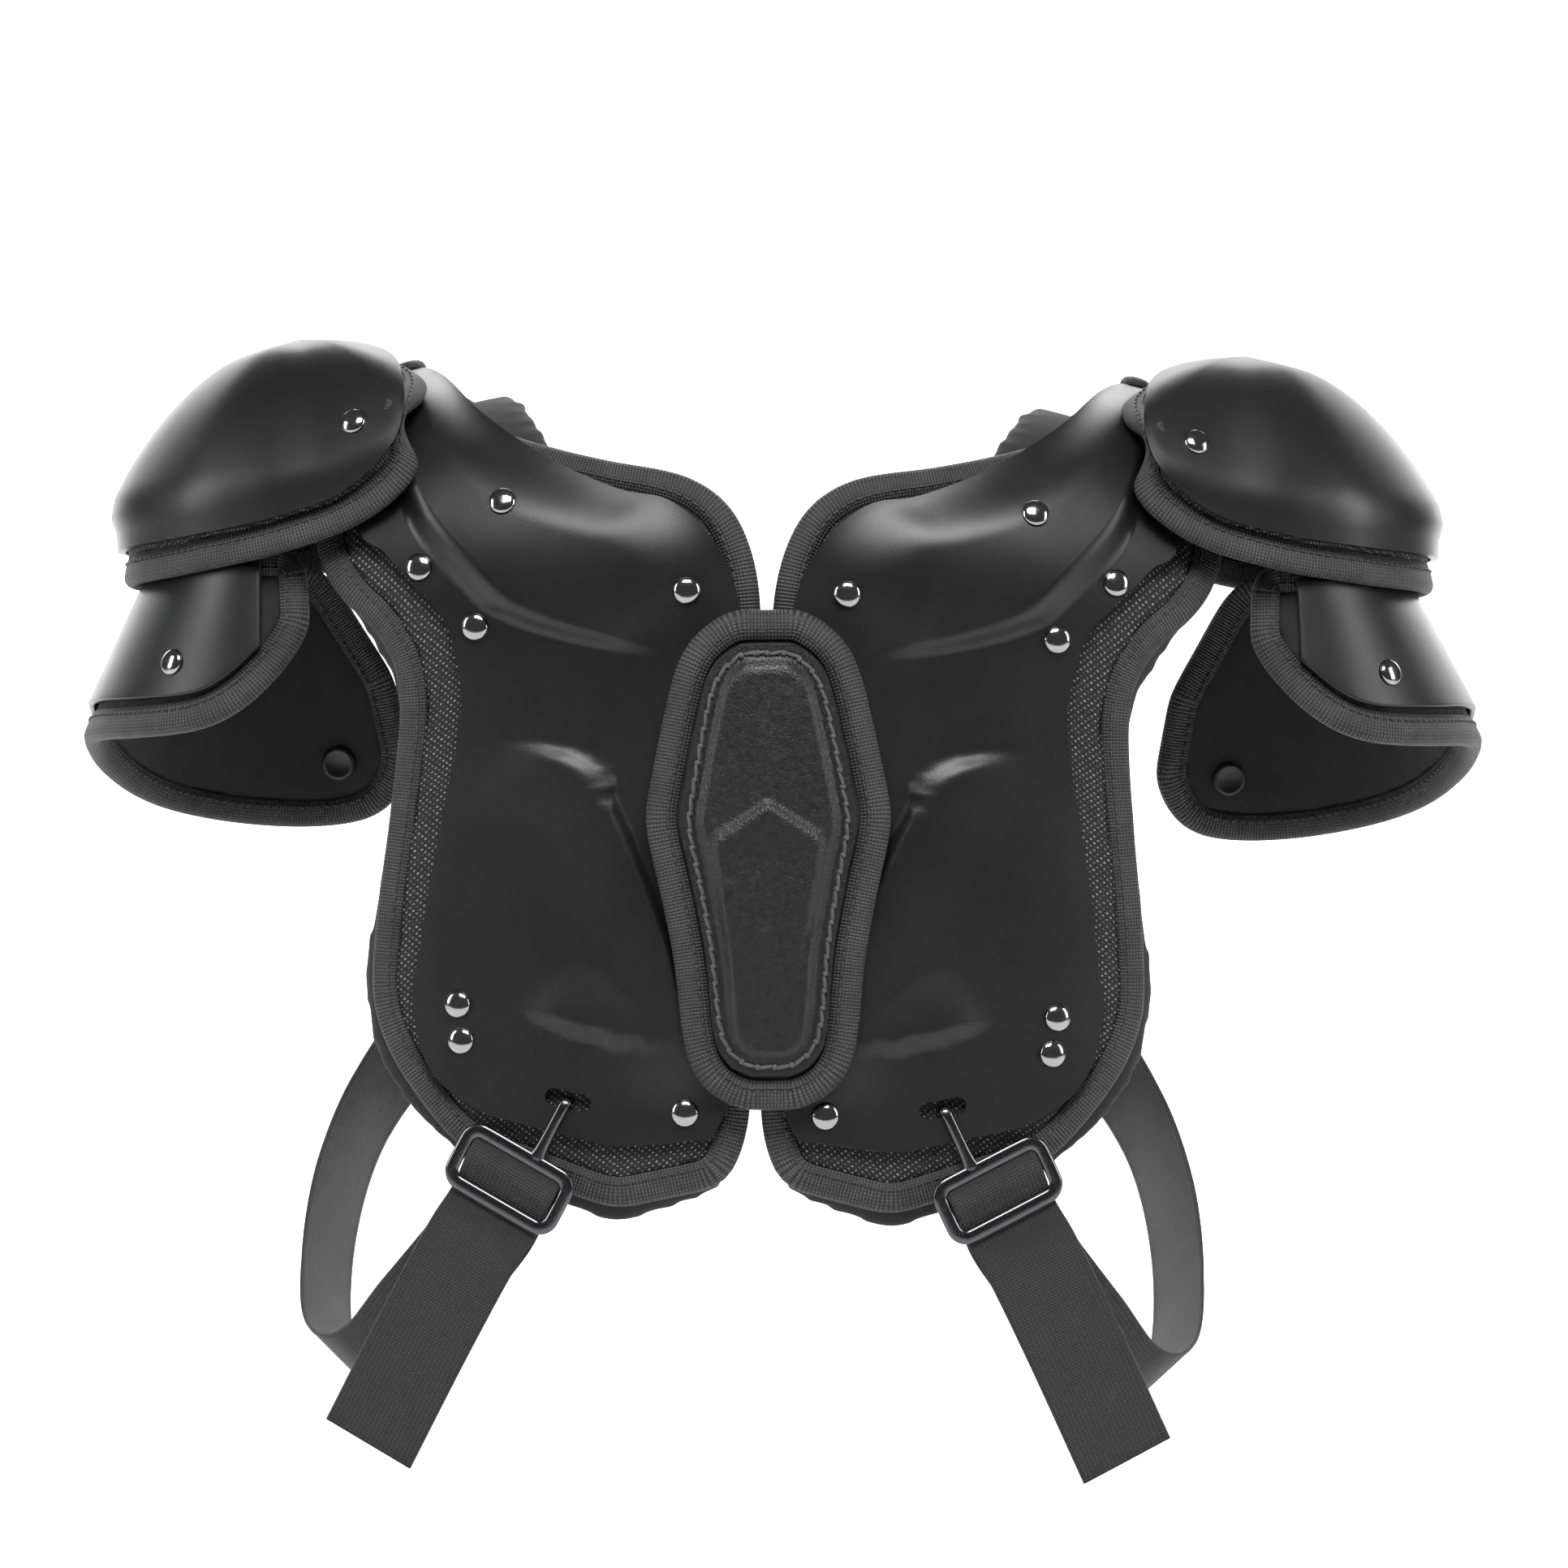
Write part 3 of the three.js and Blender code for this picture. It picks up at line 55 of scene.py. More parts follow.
camera.matrix_world = (
    Matrix.Translation(CAMERA_PLACE)
    @ Matrix.Rotation(math.radians(90), 4, "X")
    @ Matrix.Rotation(CAMERA_ROLL, 4, "Z")
)
bpy.context.scene.camera = camera

# Chest plates: two moulded sheets of satin black plastic, 3 mm thick, each with an arch raised over the
# shoulder, a strip outside the arch's crease, a raised field on the ribs and a slot for the strap's hook.
MM = 0.001
BODY_HALF_DEPTH = 95
CHEST_HALF_WIDTH = 188
SHOULDER_HALF_WIDTH = 265
BODY_ROUNDNESS = 2.2
SHOULDER_ARC = 132
SHOULDER_DROP = 80
SHOULDER_PITCH = 0.25
SEAT_FROM_MIDDLE = 140
CHEST_BLEND = 70
PLATE_WIDTH = 120
PLATE_FALL = 350
PLATE_THICKNESS = 3
PLATE_BOTTOM = 21.9
PLATE_TOP = 24.9
ARCH_RAISE = 8
CREASE_WIDTH = 9
EDGE_TURN = 0.7
EDGE_REACH = 22


def ease(low, high, value):
    share = min(1.0, max(0.0, (value - low) / (high - low)))
    return share * share * (3 - 2 * share)


def body_half_depth(out, fall):
    blend = ease(SHOULDER_ARC * 0.6, SHOULDER_ARC + CHEST_BLEND, fall)
    width = SHOULDER_HALF_WIDTH + (CHEST_HALF_WIDTH - SHOULDER_HALF_WIDTH) * blend
    rest = max(0.02, 1 - (abs(out) / width) ** BODY_ROUNDNESS)
    return BODY_HALF_DEPTH * rest ** (1 / BODY_ROUNDNESS)


def body_point(out, fall):
    front = 1 if fall >= 0 else -1
    length = abs(fall)
    depth = body_half_depth(out, length)
    ridge = SHOULDER_PITCH * (SEAT_FROM_MIDDLE - out)
    if length >= SHOULDER_ARC:
        return Vector((out, -front * depth, ridge - SHOULDER_DROP - (length - SHOULDER_ARC)))
    turn = length / SHOULDER_ARC * math.pi / 2
    return Vector((out, -front * depth * math.sin(turn), ridge - SHOULDER_DROP * (1 - math.cos(turn))))


def body_normal(out, fall):
    across = body_point(out + 0.5, fall) - body_point(out - 0.5, fall)
    along = body_point(out, fall + 0.5) - body_point(out, fall - 0.5)
    normal = across.cross(along).normalized()
    turn = min(1, abs(fall) / SHOULDER_ARC) * math.pi / 2
    guide = Vector((0, -math.copysign(math.sin(turn), fall), math.cos(turn)))
    return -normal if normal.dot(guide) < 0 else normal


def on_body(out, fall, lift, side=1):
    """A point that lies lift above the body, in metres; side is -1 for the picture's left."""
    point = (body_point(out, fall) + body_normal(out, fall) * lift) * MM
    return Vector((point.x * side, point.y, point.z))


def along_rows(rows, place):
    """A smooth curve through the rows of a table, at a place counted in rows."""
    last = len(rows) - 1
    start = min(last - 1, max(0, int(place)))
    t = place - start
    before, first, second, after = (rows[min(last, max(0, start + step))] for step in (-1, 0, 1, 2))
    weights = (
        (-t + 2 * t * t - t ** 3) / 2,
        (2 - 5 * t * t + 3 * t ** 3) / 2,
        (t + 4 * t * t - 3 * t ** 3) / 2,
        (-t * t + t ** 3) / 2,
    )
    near = (before, first, second, after)
    return [sum(w * row[i] for w, row in zip(weights, near)) for i in range(len(first))]


def flat_grid(rows, per_row, inner_steps, outer_steps, crease=0):
    """The flat places of a layer as rows of (out, fall, raise), each from the inner edge outwards."""
    grid = []
    crease_steps = 6 if crease else 0
    for number in range((len(rows) - 1) * per_row + 1):
        row = along_rows(rows, number / per_row)
        inner, middle, outer = (
            Vector((row[i] * PLATE_WIDTH, row[i + 1] * PLATE_FALL)) for i in (0, 2, 4)
        )
        raised = row[6] if len(row) > 6 else 0
        high = middle + (inner - middle).normalized() * crease / 2
        low = middle + (outer - middle).normalized() * crease / 2
        line = []
        for step in range(inner_steps + 1):
            line.append((inner.lerp(high, step / inner_steps), raised))
        for step in range(1, crease_steps):
            share = step / crease_steps
            line.append((high.lerp(low, share), raised * (1 - ease(0, 1, share))))
        for step in range(0 if crease else 1, outer_steps + 1):
            line.append((low.lerp(outer, step / outer_steps), 0))
        grid.append([(place.x, place.y, lifted) for place, lifted in line])
    return grid


def mesh_object(name, points, faces, places=None):
    """A smooth shaded object; places are its points' flat positions in metres, for the materials."""
    mesh = bpy.data.meshes.new(name)
    mesh.from_pydata([tuple(point) for point in points], [], faces)
    if places:
        layer = mesh.uv_layers.new(name="flat")
        for loop in mesh.loops:
            layer.data[loop.index].uv = places[loop.vertex_index]
    mesh.shade_smooth()
    obj = bpy.data.objects.new(name, mesh)
    bpy.context.scene.collection.objects.link(obj)
    work = bmesh.new()
    work.from_mesh(mesh)
    bmesh.ops.recalc_face_normals(work, faces=work.faces)
    work.to_mesh(mesh)
    work.free()
    return obj


def sheet_object(name, upper, lower, places):
    """A closed sheet from two grids of points that face each other."""
    rows, columns = len(upper), len(upper[0])
    points = [p for row in upper for p in row] + [p for row in lower for p in row]
    flat = [p for row in places for p in row] * 2
    count = rows * columns
    faces = []
    for r in range(rows - 1):
        for c in range(columns - 1):
            quad = [r * columns + c, r * columns + c + 1, (r + 1) * columns + c + 1, (r + 1) * columns + c]
            faces.append(quad)
            faces.append([count + i for i in reversed(quad)])
    rim = [c for c in range(columns - 1)]
    rim += [r * columns + columns - 1 for r in range(rows - 1)]
    rim += [(rows - 1) * columns + c for c in range(columns - 1, 0, -1)]
    rim += [r * columns for r in range(rows - 1, 0, -1)]
    for i, a in enumerate(rim):
        b = rim[(i + 1) % len(rim)]
        faces.append([b, a, a + count, b + count])
    return mesh_object(name, points, faces, flat)


def round_edges(obj, width):
    bevel = obj.modifiers.new("rounded", "BEVEL")
    bevel.width = width
    bevel.segments = 3
    bevel.limit_method = "ANGLE"
    bevel.angle_limit = math.radians(55)
    weighted = obj.modifiers.new("shading", "WEIGHTED_NORMAL")
    weighted.keep_sharp = True
    return obj


def fix(obj, material, nodes):
    """Gives the piece its material; it rides on the pad's one body and stands for these CAD nodes."""
    obj.data.materials.append(material)
    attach(obj, "root")
    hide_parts(*nodes)
    return obj


class Shader:
    """A node material whose nodes are wired in the order in which they are named."""

    def __init__(self, name, color, roughness):
        self.material = bpy.data.materials.new(name)
        self.material.use_nodes = True
        self.tree = self.material.node_tree
        self.surface = self.tree.nodes["Principled BSDF"]
        self.surface.inputs["Base Color"].default_value = (*color, 1)
        self.surface.inputs["Roughness"].default_value = roughness
        self.surface.inputs["Specular IOR Level"].default_value = 0.35

    def add(self, kind, values=None, **settings):
        node = self.tree.nodes.new(kind)
        for key, value in settings.items():
            setattr(node, key, value)
        for key, value in (values or {}).items():
            if isinstance(value, bpy.types.NodeSocket):
                self.tree.links.new(value, node.inputs[key])
            else:
                node.inputs[key].default_value = value
        return node

    def math(self, operation, first, second=0.0):
        return self.add("ShaderNodeMath", {0: first, 1: second}, operation=operation).outputs[0]

    def place(self, kind="Object", scale=(1, 1, 1)):
        where = self.add("ShaderNodeTexCoord").outputs[kind]
        return self.add("ShaderNodeMapping", {"Vector": where, "Scale": scale}).outputs[0]

    def noise(self, vector, scale, detail, roughness):
        values = {"Vector": vector, "Scale": scale, "Detail": detail, "Roughness": roughness}
        return self.add("ShaderNodeTexNoise", values).outputs["Fac"]

    def ramp(self, value, low, high, start=0.0, end=1.0):
        values = {"Value": value, "From Min": low, "From Max": high, "To Min": start, "To Max": end}
        return self.add("ShaderNodeMapRange", values).outputs["Result"]

    def bump(self, height, strength, distance, below=None):
        values = {"Height": height, "Strength": strength, "Distance": distance}
        if below:
            values["Normal"] = below
        return self.add("ShaderNodeBump", values).outputs["Normal"]

    def mix(self, share, first, second):
        return self.add("ShaderNodeMix", {0: share, 6: first, 7: second}, data_type="RGBA").outputs[2]

    def link(self, value, key):
        self.tree.links.new(value, self.surface.inputs[key])


def plastic_material(name, color, roughness, grain):
    shader = Shader(name, color, roughness)
    where = shader.place()
    fine = shader.noise(where, 2600, 3, 0.7)
    broad = shader.noise(where, 14, 3, 0.5)
    shader.link(shader.ramp(broad, 0.3, 0.7, roughness - 0.05, roughness + 0.06), "Roughness")
    rubbed = shader.ramp(shader.noise(where, 45, 4, 0.6), 0.62, 0.78)
    light = tuple(min(1, c * 1.8) for c in color)
    shader.link(shader.mix(rubbed, (*color, 1), (*light, 1)), "Base Color")
    waves = shader.bump(broad, 0.12, 0.002)
    shader.link(shader.bump(fine, grain, 0.00012, waves), "Normal")
    return shader.material


plastic = plastic_material("satin moulded plastic", (0.006, 0.006, 0.0063), 0.36, 0.5)

FRONT_PLATE_ROWS = [
    [0.13, 1.005, 0.42, 0.992, 0.79, 0.93, 0],
    [0.08, 0.965, 0.42, 0.955, 0.95, 0.875, 0],
    [0.08, 0.87, 0.42, 0.87, 1.013, 0.797, 0],
    [0.08, 0.77, 0.42, 0.77, 0.995, 0.73, 0],
    [0.08, 0.67, 0.42, 0.67, 0.965, 0.65, 0],
    [0.08, 0.585, 0.4, 0.595, 0.933, 0.58, 0],
    [0.08, 0.515, 0.37, 0.525, 0.911, 0.52, 0],
    [0.08, 0.457, 0.32, 0.483, 0.908, 0.49, 0],
    [0.1, 0.411, 0.43, 0.457, 0.908, 0.466, 0.15],
    [0.167, 0.363, 0.558, 0.434, 0.917, 0.443, 0.5],
    [0.292, 0.324, 0.7, 0.406, 0.935, 0.417, 0.75],
    [0.433, 0.306, 0.817, 0.376, 0.96, 0.389, 0.9],
    [0.6, 0.274, 0.9, 0.347, 0.996, 0.366, 1],
    [0.75, 0.234, 0.983, 0.317, 1.067, 0.34, 1],
    [0.892, 0.18, 1.05, 0.283, 1.158, 0.306, 1],
    [1.008, 0.109, 1.1, 0.229, 1.242, 0.274, 0.9],
    [1.092, 0.05, 1.15, 0.125, 1.267, 0.166, 0.5],
    [1.142, 0.009, 1.2, 0.009, 1.267, 0.009, 0.1],
]
# The raised field's upper ridge, inner ridge and lower ridge, as distances out and falls
FIELD_RIDGES = [
    [
        (98, 182), (84, 189), (70, 196), (62, 202), (57, 210), (49, 229), (41, 251), (33, 275), (28, 296),
        (27, 306),
    ],
    [(27, 306), (30, 311), (38, 311), (54, 305), (67, 298), (78, 291), (86, 284)],
]
FIELD_RAISE = 3.4
SLOT_OUT = 66.6
SLOT_FALL = 325.9
SLOT_LENGTH = 18
SLOT_HEIGHT = 6.7
SLOT_TILT = 11


def ridge_height(out, fall):
    """How far the raised field stands up: high along its ridges and sloping back to the plate behind them."""
    here = Vector((out, fall))
    height = 0.0
    for ridge, (inward_x, inward_y) in zip(FIELD_RIDGES, ((1, 0.75), (0.35, -1))):
        best = None
        total = sum((Vector(b) - Vector(a)).length for a, b in zip(ridge, ridge[1:]))
        run = 0.0
        for a, b in zip(ridge, ridge[1:]):
            a, b = Vector(a), Vector(b)
            span = b - a
            share = min(1, max(0, (here - a).dot(span) / span.length_squared))
            offset = here - (a + span * share)
            if best is None or offset.length < best[0]:
                inside = offset.dot(Vector((inward_x, inward_y)))
                best = (offset.length, inside, (run + share * span.length) / total)
            run += span.length
        distance, inside, way = best
        fade = ease(0, 0.22, way) if inward_y > 0 else ease(0, 0.3, 1 - way)
        slope = 1 - ease(0, 1.7, distance) if inside < 0 else 1 - ease(1, 34, distance)
        height = max(height, slope * fade)
    return height * FIELD_RAISE


def apply_modifiers(obj):
    """Makes the object's modifiers part of its mesh."""
    evaluated = obj.evaluated_get(bpy.context.evaluated_depsgraph_get())
    mesh = bpy.data.meshes.new_from_object(evaluated)
    obj.modifiers.clear()
    obj.data = mesh


def cut_slot(obj, side):
    """The slot's opening with round ends, cut right through the plate."""
    centre = on_body(SLOT_OUT, SLOT_FALL, PLATE_TOP, side)
    normal = (on_body(SLOT_OUT, SLOT_FALL, PLATE_TOP + 1, side) - centre).normalized()
    tilt = math.radians(SLOT_TILT)
    along = Vector((side * math.cos(tilt), 0, math.sin(tilt)))
    along = (along - normal * along.dot(normal)).normalized()
    across = normal.cross(along)
    straight = (SLOT_LENGTH - SLOT_HEIGHT) / 2
    ring = []
    for step in range(32):
        angle = math.tau * step / 32
        x = math.cos(angle) * SLOT_HEIGHT / 2 + math.copysign(straight, math.cos(angle))
        ring.append((x, math.sin(angle) * SLOT_HEIGHT / 2))
    points = [centre + (along * x + across * y + normal * z) * MM for z in (-8, 6) for x, y in ring]
    faces = [list(range(32)), list(range(63, 31, -1))]
    faces += [[i, (i + 1) % 32, 32 + (i + 1) % 32, 32 + i] for i in range(32)]
    cutter = mesh_object("slot_cutter", points, faces)
    cut = obj.modifiers.new("slot", "BOOLEAN")
    cut.operation = "DIFFERENCE"
    cut.object = cutter
    cut.solver = "EXACT"
    apply_modifiers(obj)
    bpy.data.objects.remove(cutter)


for side, word in ((-1, "left"), (1, "right")):
    grid = flat_grid(FRONT_PLATE_ROWS, 11, 44, 16, CREASE_WIDTH)
    upper = []
    lower = []
    for line in grid:
        inner = Vector(line[0][:2])
        lifts = []
        for out, fall, raised in line:
            turned_down = 1 - EDGE_TURN * (1 - ease(0, EDGE_REACH, (Vector((out, fall)) - inner).length))
            lifts.append(raised * ARCH_RAISE * turned_down + ridge_height(out, fall))
        upper.append([on_body(o, f, PLATE_TOP + lift, side) for (o, f, _), lift in zip(line, lifts)])
        lower.append([on_body(o, f, PLATE_BOTTOM + lift, side) for (o, f, _), lift in zip(line, lifts)])
    places = [[(out * MM * side, fall * MM) for out, fall, _ in line] for line in grid]
    plate = sheet_object(f"chest_plate_{word}", upper, lower, places)
    cut_slot(plate, side)
    round_edges(plate, 1.1 * MM)
    fix(plate, plastic, [f"front_shell_{word}"])


# Chest liners: foam 7 mm thick under each plate, covered in black spacer mesh with rows of small open
# cells. The foam is filled by a cloth simulation and its edge is held by the tape that is sewn round it.
LINER_BOTTOM = 13.6
LINER_TOP = 20.9
THIN_FROM = 140
THIN_TO = 75
FOAM_VOXEL = 4.2 * MM
FOAM_PRESSURE = 4.0
FOAM_FRAMES = 16
GRIP_REACH = 6 * MM


def thinning(fall):
    """The soft layers are thinner over the shoulder, under the arch."""
    return 1 - ease(THIN_TO, THIN_FROM, abs(fall))


def liner_faces(fall, spread=0.0):
    thin = thinning(fall)
    return LINER_BOTTOM + spread - 2.3 * thin, LINER_TOP + spread - 4.6 * thin


def carry_places(obj, surface, places):
    """Gives the mesh flat positions for its cloth, read off the nearest point of a grid that has them."""
    rows, columns = len(surface), len(surface[0])
    points = [p for row in surface for p in row]
    flat = [p for row in places for p in row]
    faces = []
    for r in range(rows - 1):
        for c in range(columns - 1):
            a = r * columns + c
            faces += [(a, a + 1, a + columns + 1), (a, a + columns + 1, a + columns)]
    tree = BVHTree.FromPolygons(points, faces)
    found = []
    for vertex in obj.data.vertices:
        place, _, index, _ = tree.find_nearest(vertex.co)
        a, b, c = (points[i] for i in faces[index])
        whole = (b - a).cross(c - a)
        size = whole.length_squared
        share_b = (place - a).cross(c - a).dot(whole) / size
        share_c = (b - a).cross(place - a).dot(whole) / size
        fa, fb, fc = (flat[i] for i in faces[index])
        found.append(tuple(fa[i] + share_b * (fb[i] - fa[i]) + share_c * (fc[i] - fa[i]) for i in (0, 1)))
    layer = obj.data.uv_layers.get("flat") or obj.data.uv_layers.new(name="flat")
    for loop in obj.data.loops:
        layer.data[loop.index].uv = found[loop.vertex_index]


def fill_foam(obj, surface, places, most, held=None):
    """Remeshes a closed cover evenly, lays the mesh back on it and lets a cloth simulation press it out from
    inside, by at most most. held is a line of points where the tape grips the cover, so it stays there."""
    cut = obj.copy()
    cut.data = obj.data.copy()
    bpy.context.scene.collection.objects.link(cut)
    remesh = obj.modifiers.new("even", "REMESH")
    remesh.mode = "VOXEL"
    remesh.voxel_size = FOAM_VOXEL
    remesh.use_smooth_shade = True
    laid = obj.modifiers.new("laid", "SHRINKWRAP")
    laid.target = cut
    apply_modifiers(obj)
    bpy.data.objects.remove(cut)
    before = [vertex.co.copy() for vertex in obj.data.vertices]
    grip = obj.vertex_groups.new(name="grip")
    if held:
        line = BVHTree.FromPolygons(
            held + [p + Vector((0, 0, 1e-6)) for p in held],
            [(i, (i + 1) % len(held), len(held) + i) for i in range(len(held))],
        )
    for vertex in obj.data.vertices:
        near = held and line.find_nearest(vertex.co)[3] < GRIP_REACH
        grip.add([vertex.index], 1.0 if near else 0.0, "REPLACE")
    cloth = obj.modifiers.new("cloth", "CLOTH")
    cloth.settings.vertex_group_mass = "grip"
    cloth.settings.use_pressure = True
    cloth.settings.uniform_pressure_force = FOAM_PRESSURE
    cloth.settings.quality = 4
    cloth.settings.mass = 0.3
    cloth.settings.tension_stiffness = 12
    cloth.settings.compression_stiffness = 12
    cloth.settings.shear_stiffness = 6
    cloth.settings.bending_stiffness = 1.5
    cloth.settings.effector_weights.gravity = 0
    cloth.point_cache.frame_start = 1
    cloth.point_cache.frame_end = FOAM_FRAMES
    for number in range(1, FOAM_FRAMES + 1):
        bpy.context.scene.frame_set(number)
    apply_modifiers(obj)
    bpy.context.scene.frame_set(1)
    for vertex, start in zip(obj.data.vertices, before):
        move = vertex.co - start
        if move.length > most:
            vertex.co = start + move.normalized() * most
    smooth = obj.modifiers.new("smooth", "SMOOTH")
    smooth.factor = 0.5
    smooth.iterations = 5
    finer = obj.modifiers.new("finer", "SUBSURF")
    finer.levels = finer.render_levels = 1
    apply_modifiers(obj)
    obj.data.shade_smooth()
    carry_places(obj, surface, places)
    return obj


def mesh_material(name, color, glint):
    """Spacer mesh: rows of small cells, the shiny yarn round each carrying a painted highlight, on a dull
    dark ground.
    """
    shader = Shader(name, color, 0.75)
    where = shader.place("UV")
    turned = shader.add("ShaderNodeVectorRotate", {"Vector": where, "Angle": math.radians(45)},
                        rotation_type="Z_AXIS").outputs[0]
    cells = shader.add("ShaderNodeTexVoronoi", {"Vector": turned, "Scale": 560, "Randomness": 0.06},
                       voronoi_dimensions="2D").outputs["Distance"]
    dots = shader.ramp(cells, 0.3, 0.16)
    uneven = shader.ramp(shader.noise(where, 520, 2, 0.6), 0.42, 0.62, 0.15, 1)
    lit = shader.math("MULTIPLY", dots, uneven)
    # Painted highlight: the yarn round each cell is painted lighter, towards the colour glint, more in some
    # places than in others.
    shader.link(shader.mix(lit, (*color, 1), (*glint, 1)), "Base Color")
    shader.link(shader.ramp(lit, 0, 1, 0.8, 0.4), "Roughness")
    yarn = shader.noise(where, 2600, 2, 0.6)
    shader.link(shader.bump(dots, 0.7, 0.0004, shader.bump(yarn, 0.35, 0.0002)), "Normal")
    return shader.material


spacer_mesh = mesh_material("spacer mesh", (0.005, 0.005, 0.0053), (0.2, 0.2, 0.205))

FRONT_LINER_ROWS = [
    [0.13, 1.035, 0.42, 1.035, 0.85, 0.945],
    [0.086, 0.99, 0.42, 0.977, 1.017, 0.857],
    [0.086, 0.914, 0.5, 0.908, 1.092, 0.79],
    [0.086, 0.8, 0.5, 0.8, 1.096, 0.737],
    [0.086, 0.686, 0.5, 0.686, 1.08, 0.663],
    [0.086, 0.586, 0.5, 0.586, 1.054, 0.586],
    [0.086, 0.509, 0.5, 0.514, 1.044, 0.509],
    [0.086, 0.457, 0.5, 0.471, 1.046, 0.457],
    [0.1, 0.405, 0.542, 0.429, 1.075, 0.406],
    [0.15, 0.352, 0.583, 0.394, 1.158, 0.357],
    [0.25, 0.318, 0.667, 0.354, 1.25, 0.326],
    [0.37, 0.298, 0.767, 0.314, 1.325, 0.286],
    [0.5, 0.28, 0.875, 0.263, 1.35, 0.229],
    [0.68, 0.248, 0.95, 0.223, 1.35, 0.183],
    [0.85, 0.21, 1.033, 0.166, 1.34, 0.137],
    [0.967, 0.171, 1.1, 0.12, 1.31, 0.097],
]


def layer_surfaces(grid, side, faces_of, rounding=0.0):
    """The lower and upper surface of a layer, and its flat places in metres. With a rounding, the two faces
    draw together towards the rim by that share of their distance."""
    lower = []
    upper = []
    for r, line in enumerate(grid):
        below, above = [], []
        for c, (out, fall, _) in enumerate(line):
            bottom, top = faces_of(fall)
            from_rim = min(r, len(grid) - 1 - r, c, len(line) - 1 - c)
            drawn = (top - bottom) / 2 * rounding * (1, 0.3, 0.05, 0)[min(3, from_rim)]
            below.append(on_body(out, fall, bottom + drawn, side))
            above.append(on_body(out, fall, top - drawn, side))
        lower.append(below)
        upper.append(above)
    places = [[(out * MM * side, fall * MM) for out, fall, _ in line] for line in grid]
    return lower, upper, places


def rim_of(grid):
    """The places round a grid's edge, in order."""
    last, end = len(grid) - 1, len(grid[0]) - 1
    loop = [grid[0][c] for c in range(end)] + [grid[r][end] for r in range(last)]
    return loop + [grid[last][c] for c in range(end, 0, -1)] + [grid[r][0] for r in range(last, 0, -1)]


liner_rims = {}
for side, word in ((-1, "left"), (1, "right")):
    grid = flat_grid(FRONT_LINER_ROWS, 5, 16, 16)
    lower, upper, places = layer_surfaces(grid, side, liner_faces)
    liner = sheet_object(f"chest_liner_{word}", upper, lower, places)
    liner_rims[word] = rim_of(grid)
    gripped = [on_body(out, fall, sum(liner_faces(fall)) / 2, side) for out, fall, _ in liner_rims[word]]
    fill_foam(liner, upper, places, 0.8 * MM, gripped)
    fix(liner, spacer_mesh, [f"front_liner_{word}"])

# Binding tape: ribbed woven tape folded over the liner's edge and sewn through beside the fold, with a
# rolled end where it tucks under the arch at the neck.
TAPE_WIDTH = 8.6
TAPE_LAP = 2.8
TAPE_SPACING = 2.2
CORNER_ROUNDS = 5
SEAM_STAND = 0.75
SEAM_THREAD_RADIUS = 0.42


def even_loop(loop, spacing):
    """The same closed line with points at an even spacing, and its corners rounded."""
    points = [Vector(item[:2]) for item in loop]
    count = len(points)
    for _ in range(CORNER_ROUNDS):
        points = [(points[i - 1] + points[i] * 2 + points[(i + 1) % count]) / 4 for i in range(count)]
    ends = points + points[:1]
    lengths = [0.0]
    for a, b in zip(ends, ends[1:]):
        lengths.append(lengths[-1] + (b - a).length)
    count = max(8, int(lengths[-1] / spacing))
    even = []
    at = 0
    for number in range(count):
        want = lengths[-1] * number / count
        while lengths[at + 1] < want and at < len(lengths) - 2:
            at += 1
        share = (want - lengths[at]) / max(1e-9, lengths[at + 1] - lengths[at])
        even.append(ends[at].lerp(ends[at + 1], share))
    return even


def frames_along(points, normals):
    """For each point of a closed line: the direction away from its middle, square to the line and normal."""
    outwards = []
    count = len(points)
    for i in range(count):
        along = (points[(i + 1) % count] - points[i - 1]).normalized()
        outward = along.cross(normals[i]).normalized()
        outwards.append(outward)
    centre = sum(points, Vector()) / count
    votes = sum(1 if o.dot(p - centre) > 0 else -1 for o, p in zip(outwards, points))
    return outwards if votes > 0 else [-o for o in outwards]


def tape_profile(bottom, top):
    """The folded tape's section as (outwards, up), in millimetres."""
    middle = (bottom + top) / 2
    half = (top - bottom) / 2 + 0.4
    nose = []
    for step in range(9):
        angle = math.pi / 2 - math.pi * step / 8
        outwards = TAPE_WIDTH * 0.52 + TAPE_WIDTH * 0.48 * math.cos(angle)
        nose.append((outwards, middle + half * math.sin(angle)))
    return [(-TAPE_LAP, top + 0.25), (TAPE_WIDTH * 0.2, top + 0.45)] + nose + [
        (TAPE_WIDTH * 0.2, bottom - 0.4), (-TAPE_LAP, bottom - 0.25),
    ]


def swept_object(name, sections, closed=True):
    """A solid through sections with the same number of points; flat places run along it and round it."""
    count = len(sections[0])
    points = [p for section in sections for p in section]
    faces = []
    turns = len(sections) if closed else len(sections) - 1
    for i in range(turns):
        j = (i + 1) % len(sections)
        for s in range(count):
            t = (s + 1) % count
            faces.append([i * count + s, i * count + t, j * count + t, j * count + s])
    if not closed:
        faces += [list(range(count)), [(len(sections) - 1) * count + s for s in reversed(range(count))]]
    obj = mesh_object(name, points, faces)
    run = [0.0]
    for a, b in zip(sections, sections[1:] + sections[:1]):
        run.append(run[-1] + (b[0] - a[0]).length)
    across = [0.0]
    for s in range(count):
        across.append(across[-1] + (sections[0][(s + 1) % count] - sections[0][s]).length)
    layer = obj.data.uv_layers.new(name="flat")
    for polygon in obj.data.polygons:
        numbers = [obj.data.loops[i].vertex_index for i in polygon.loop_indices]
        rings = [n // count for n in numbers]
        places = [n % count for n in numbers]
        wraps = closed and 0 in rings and len(sections) - 1 in rings
        folds = 0 in places and count - 1 in places
        for index, ring, place in zip(polygon.loop_indices, rings, places):
            u = run[len(sections)] if wraps and ring == 0 else run[ring]
            v = across[count] if folds and place == 0 else across[place]
            layer.data[index].uv = (u, v)
    return obj


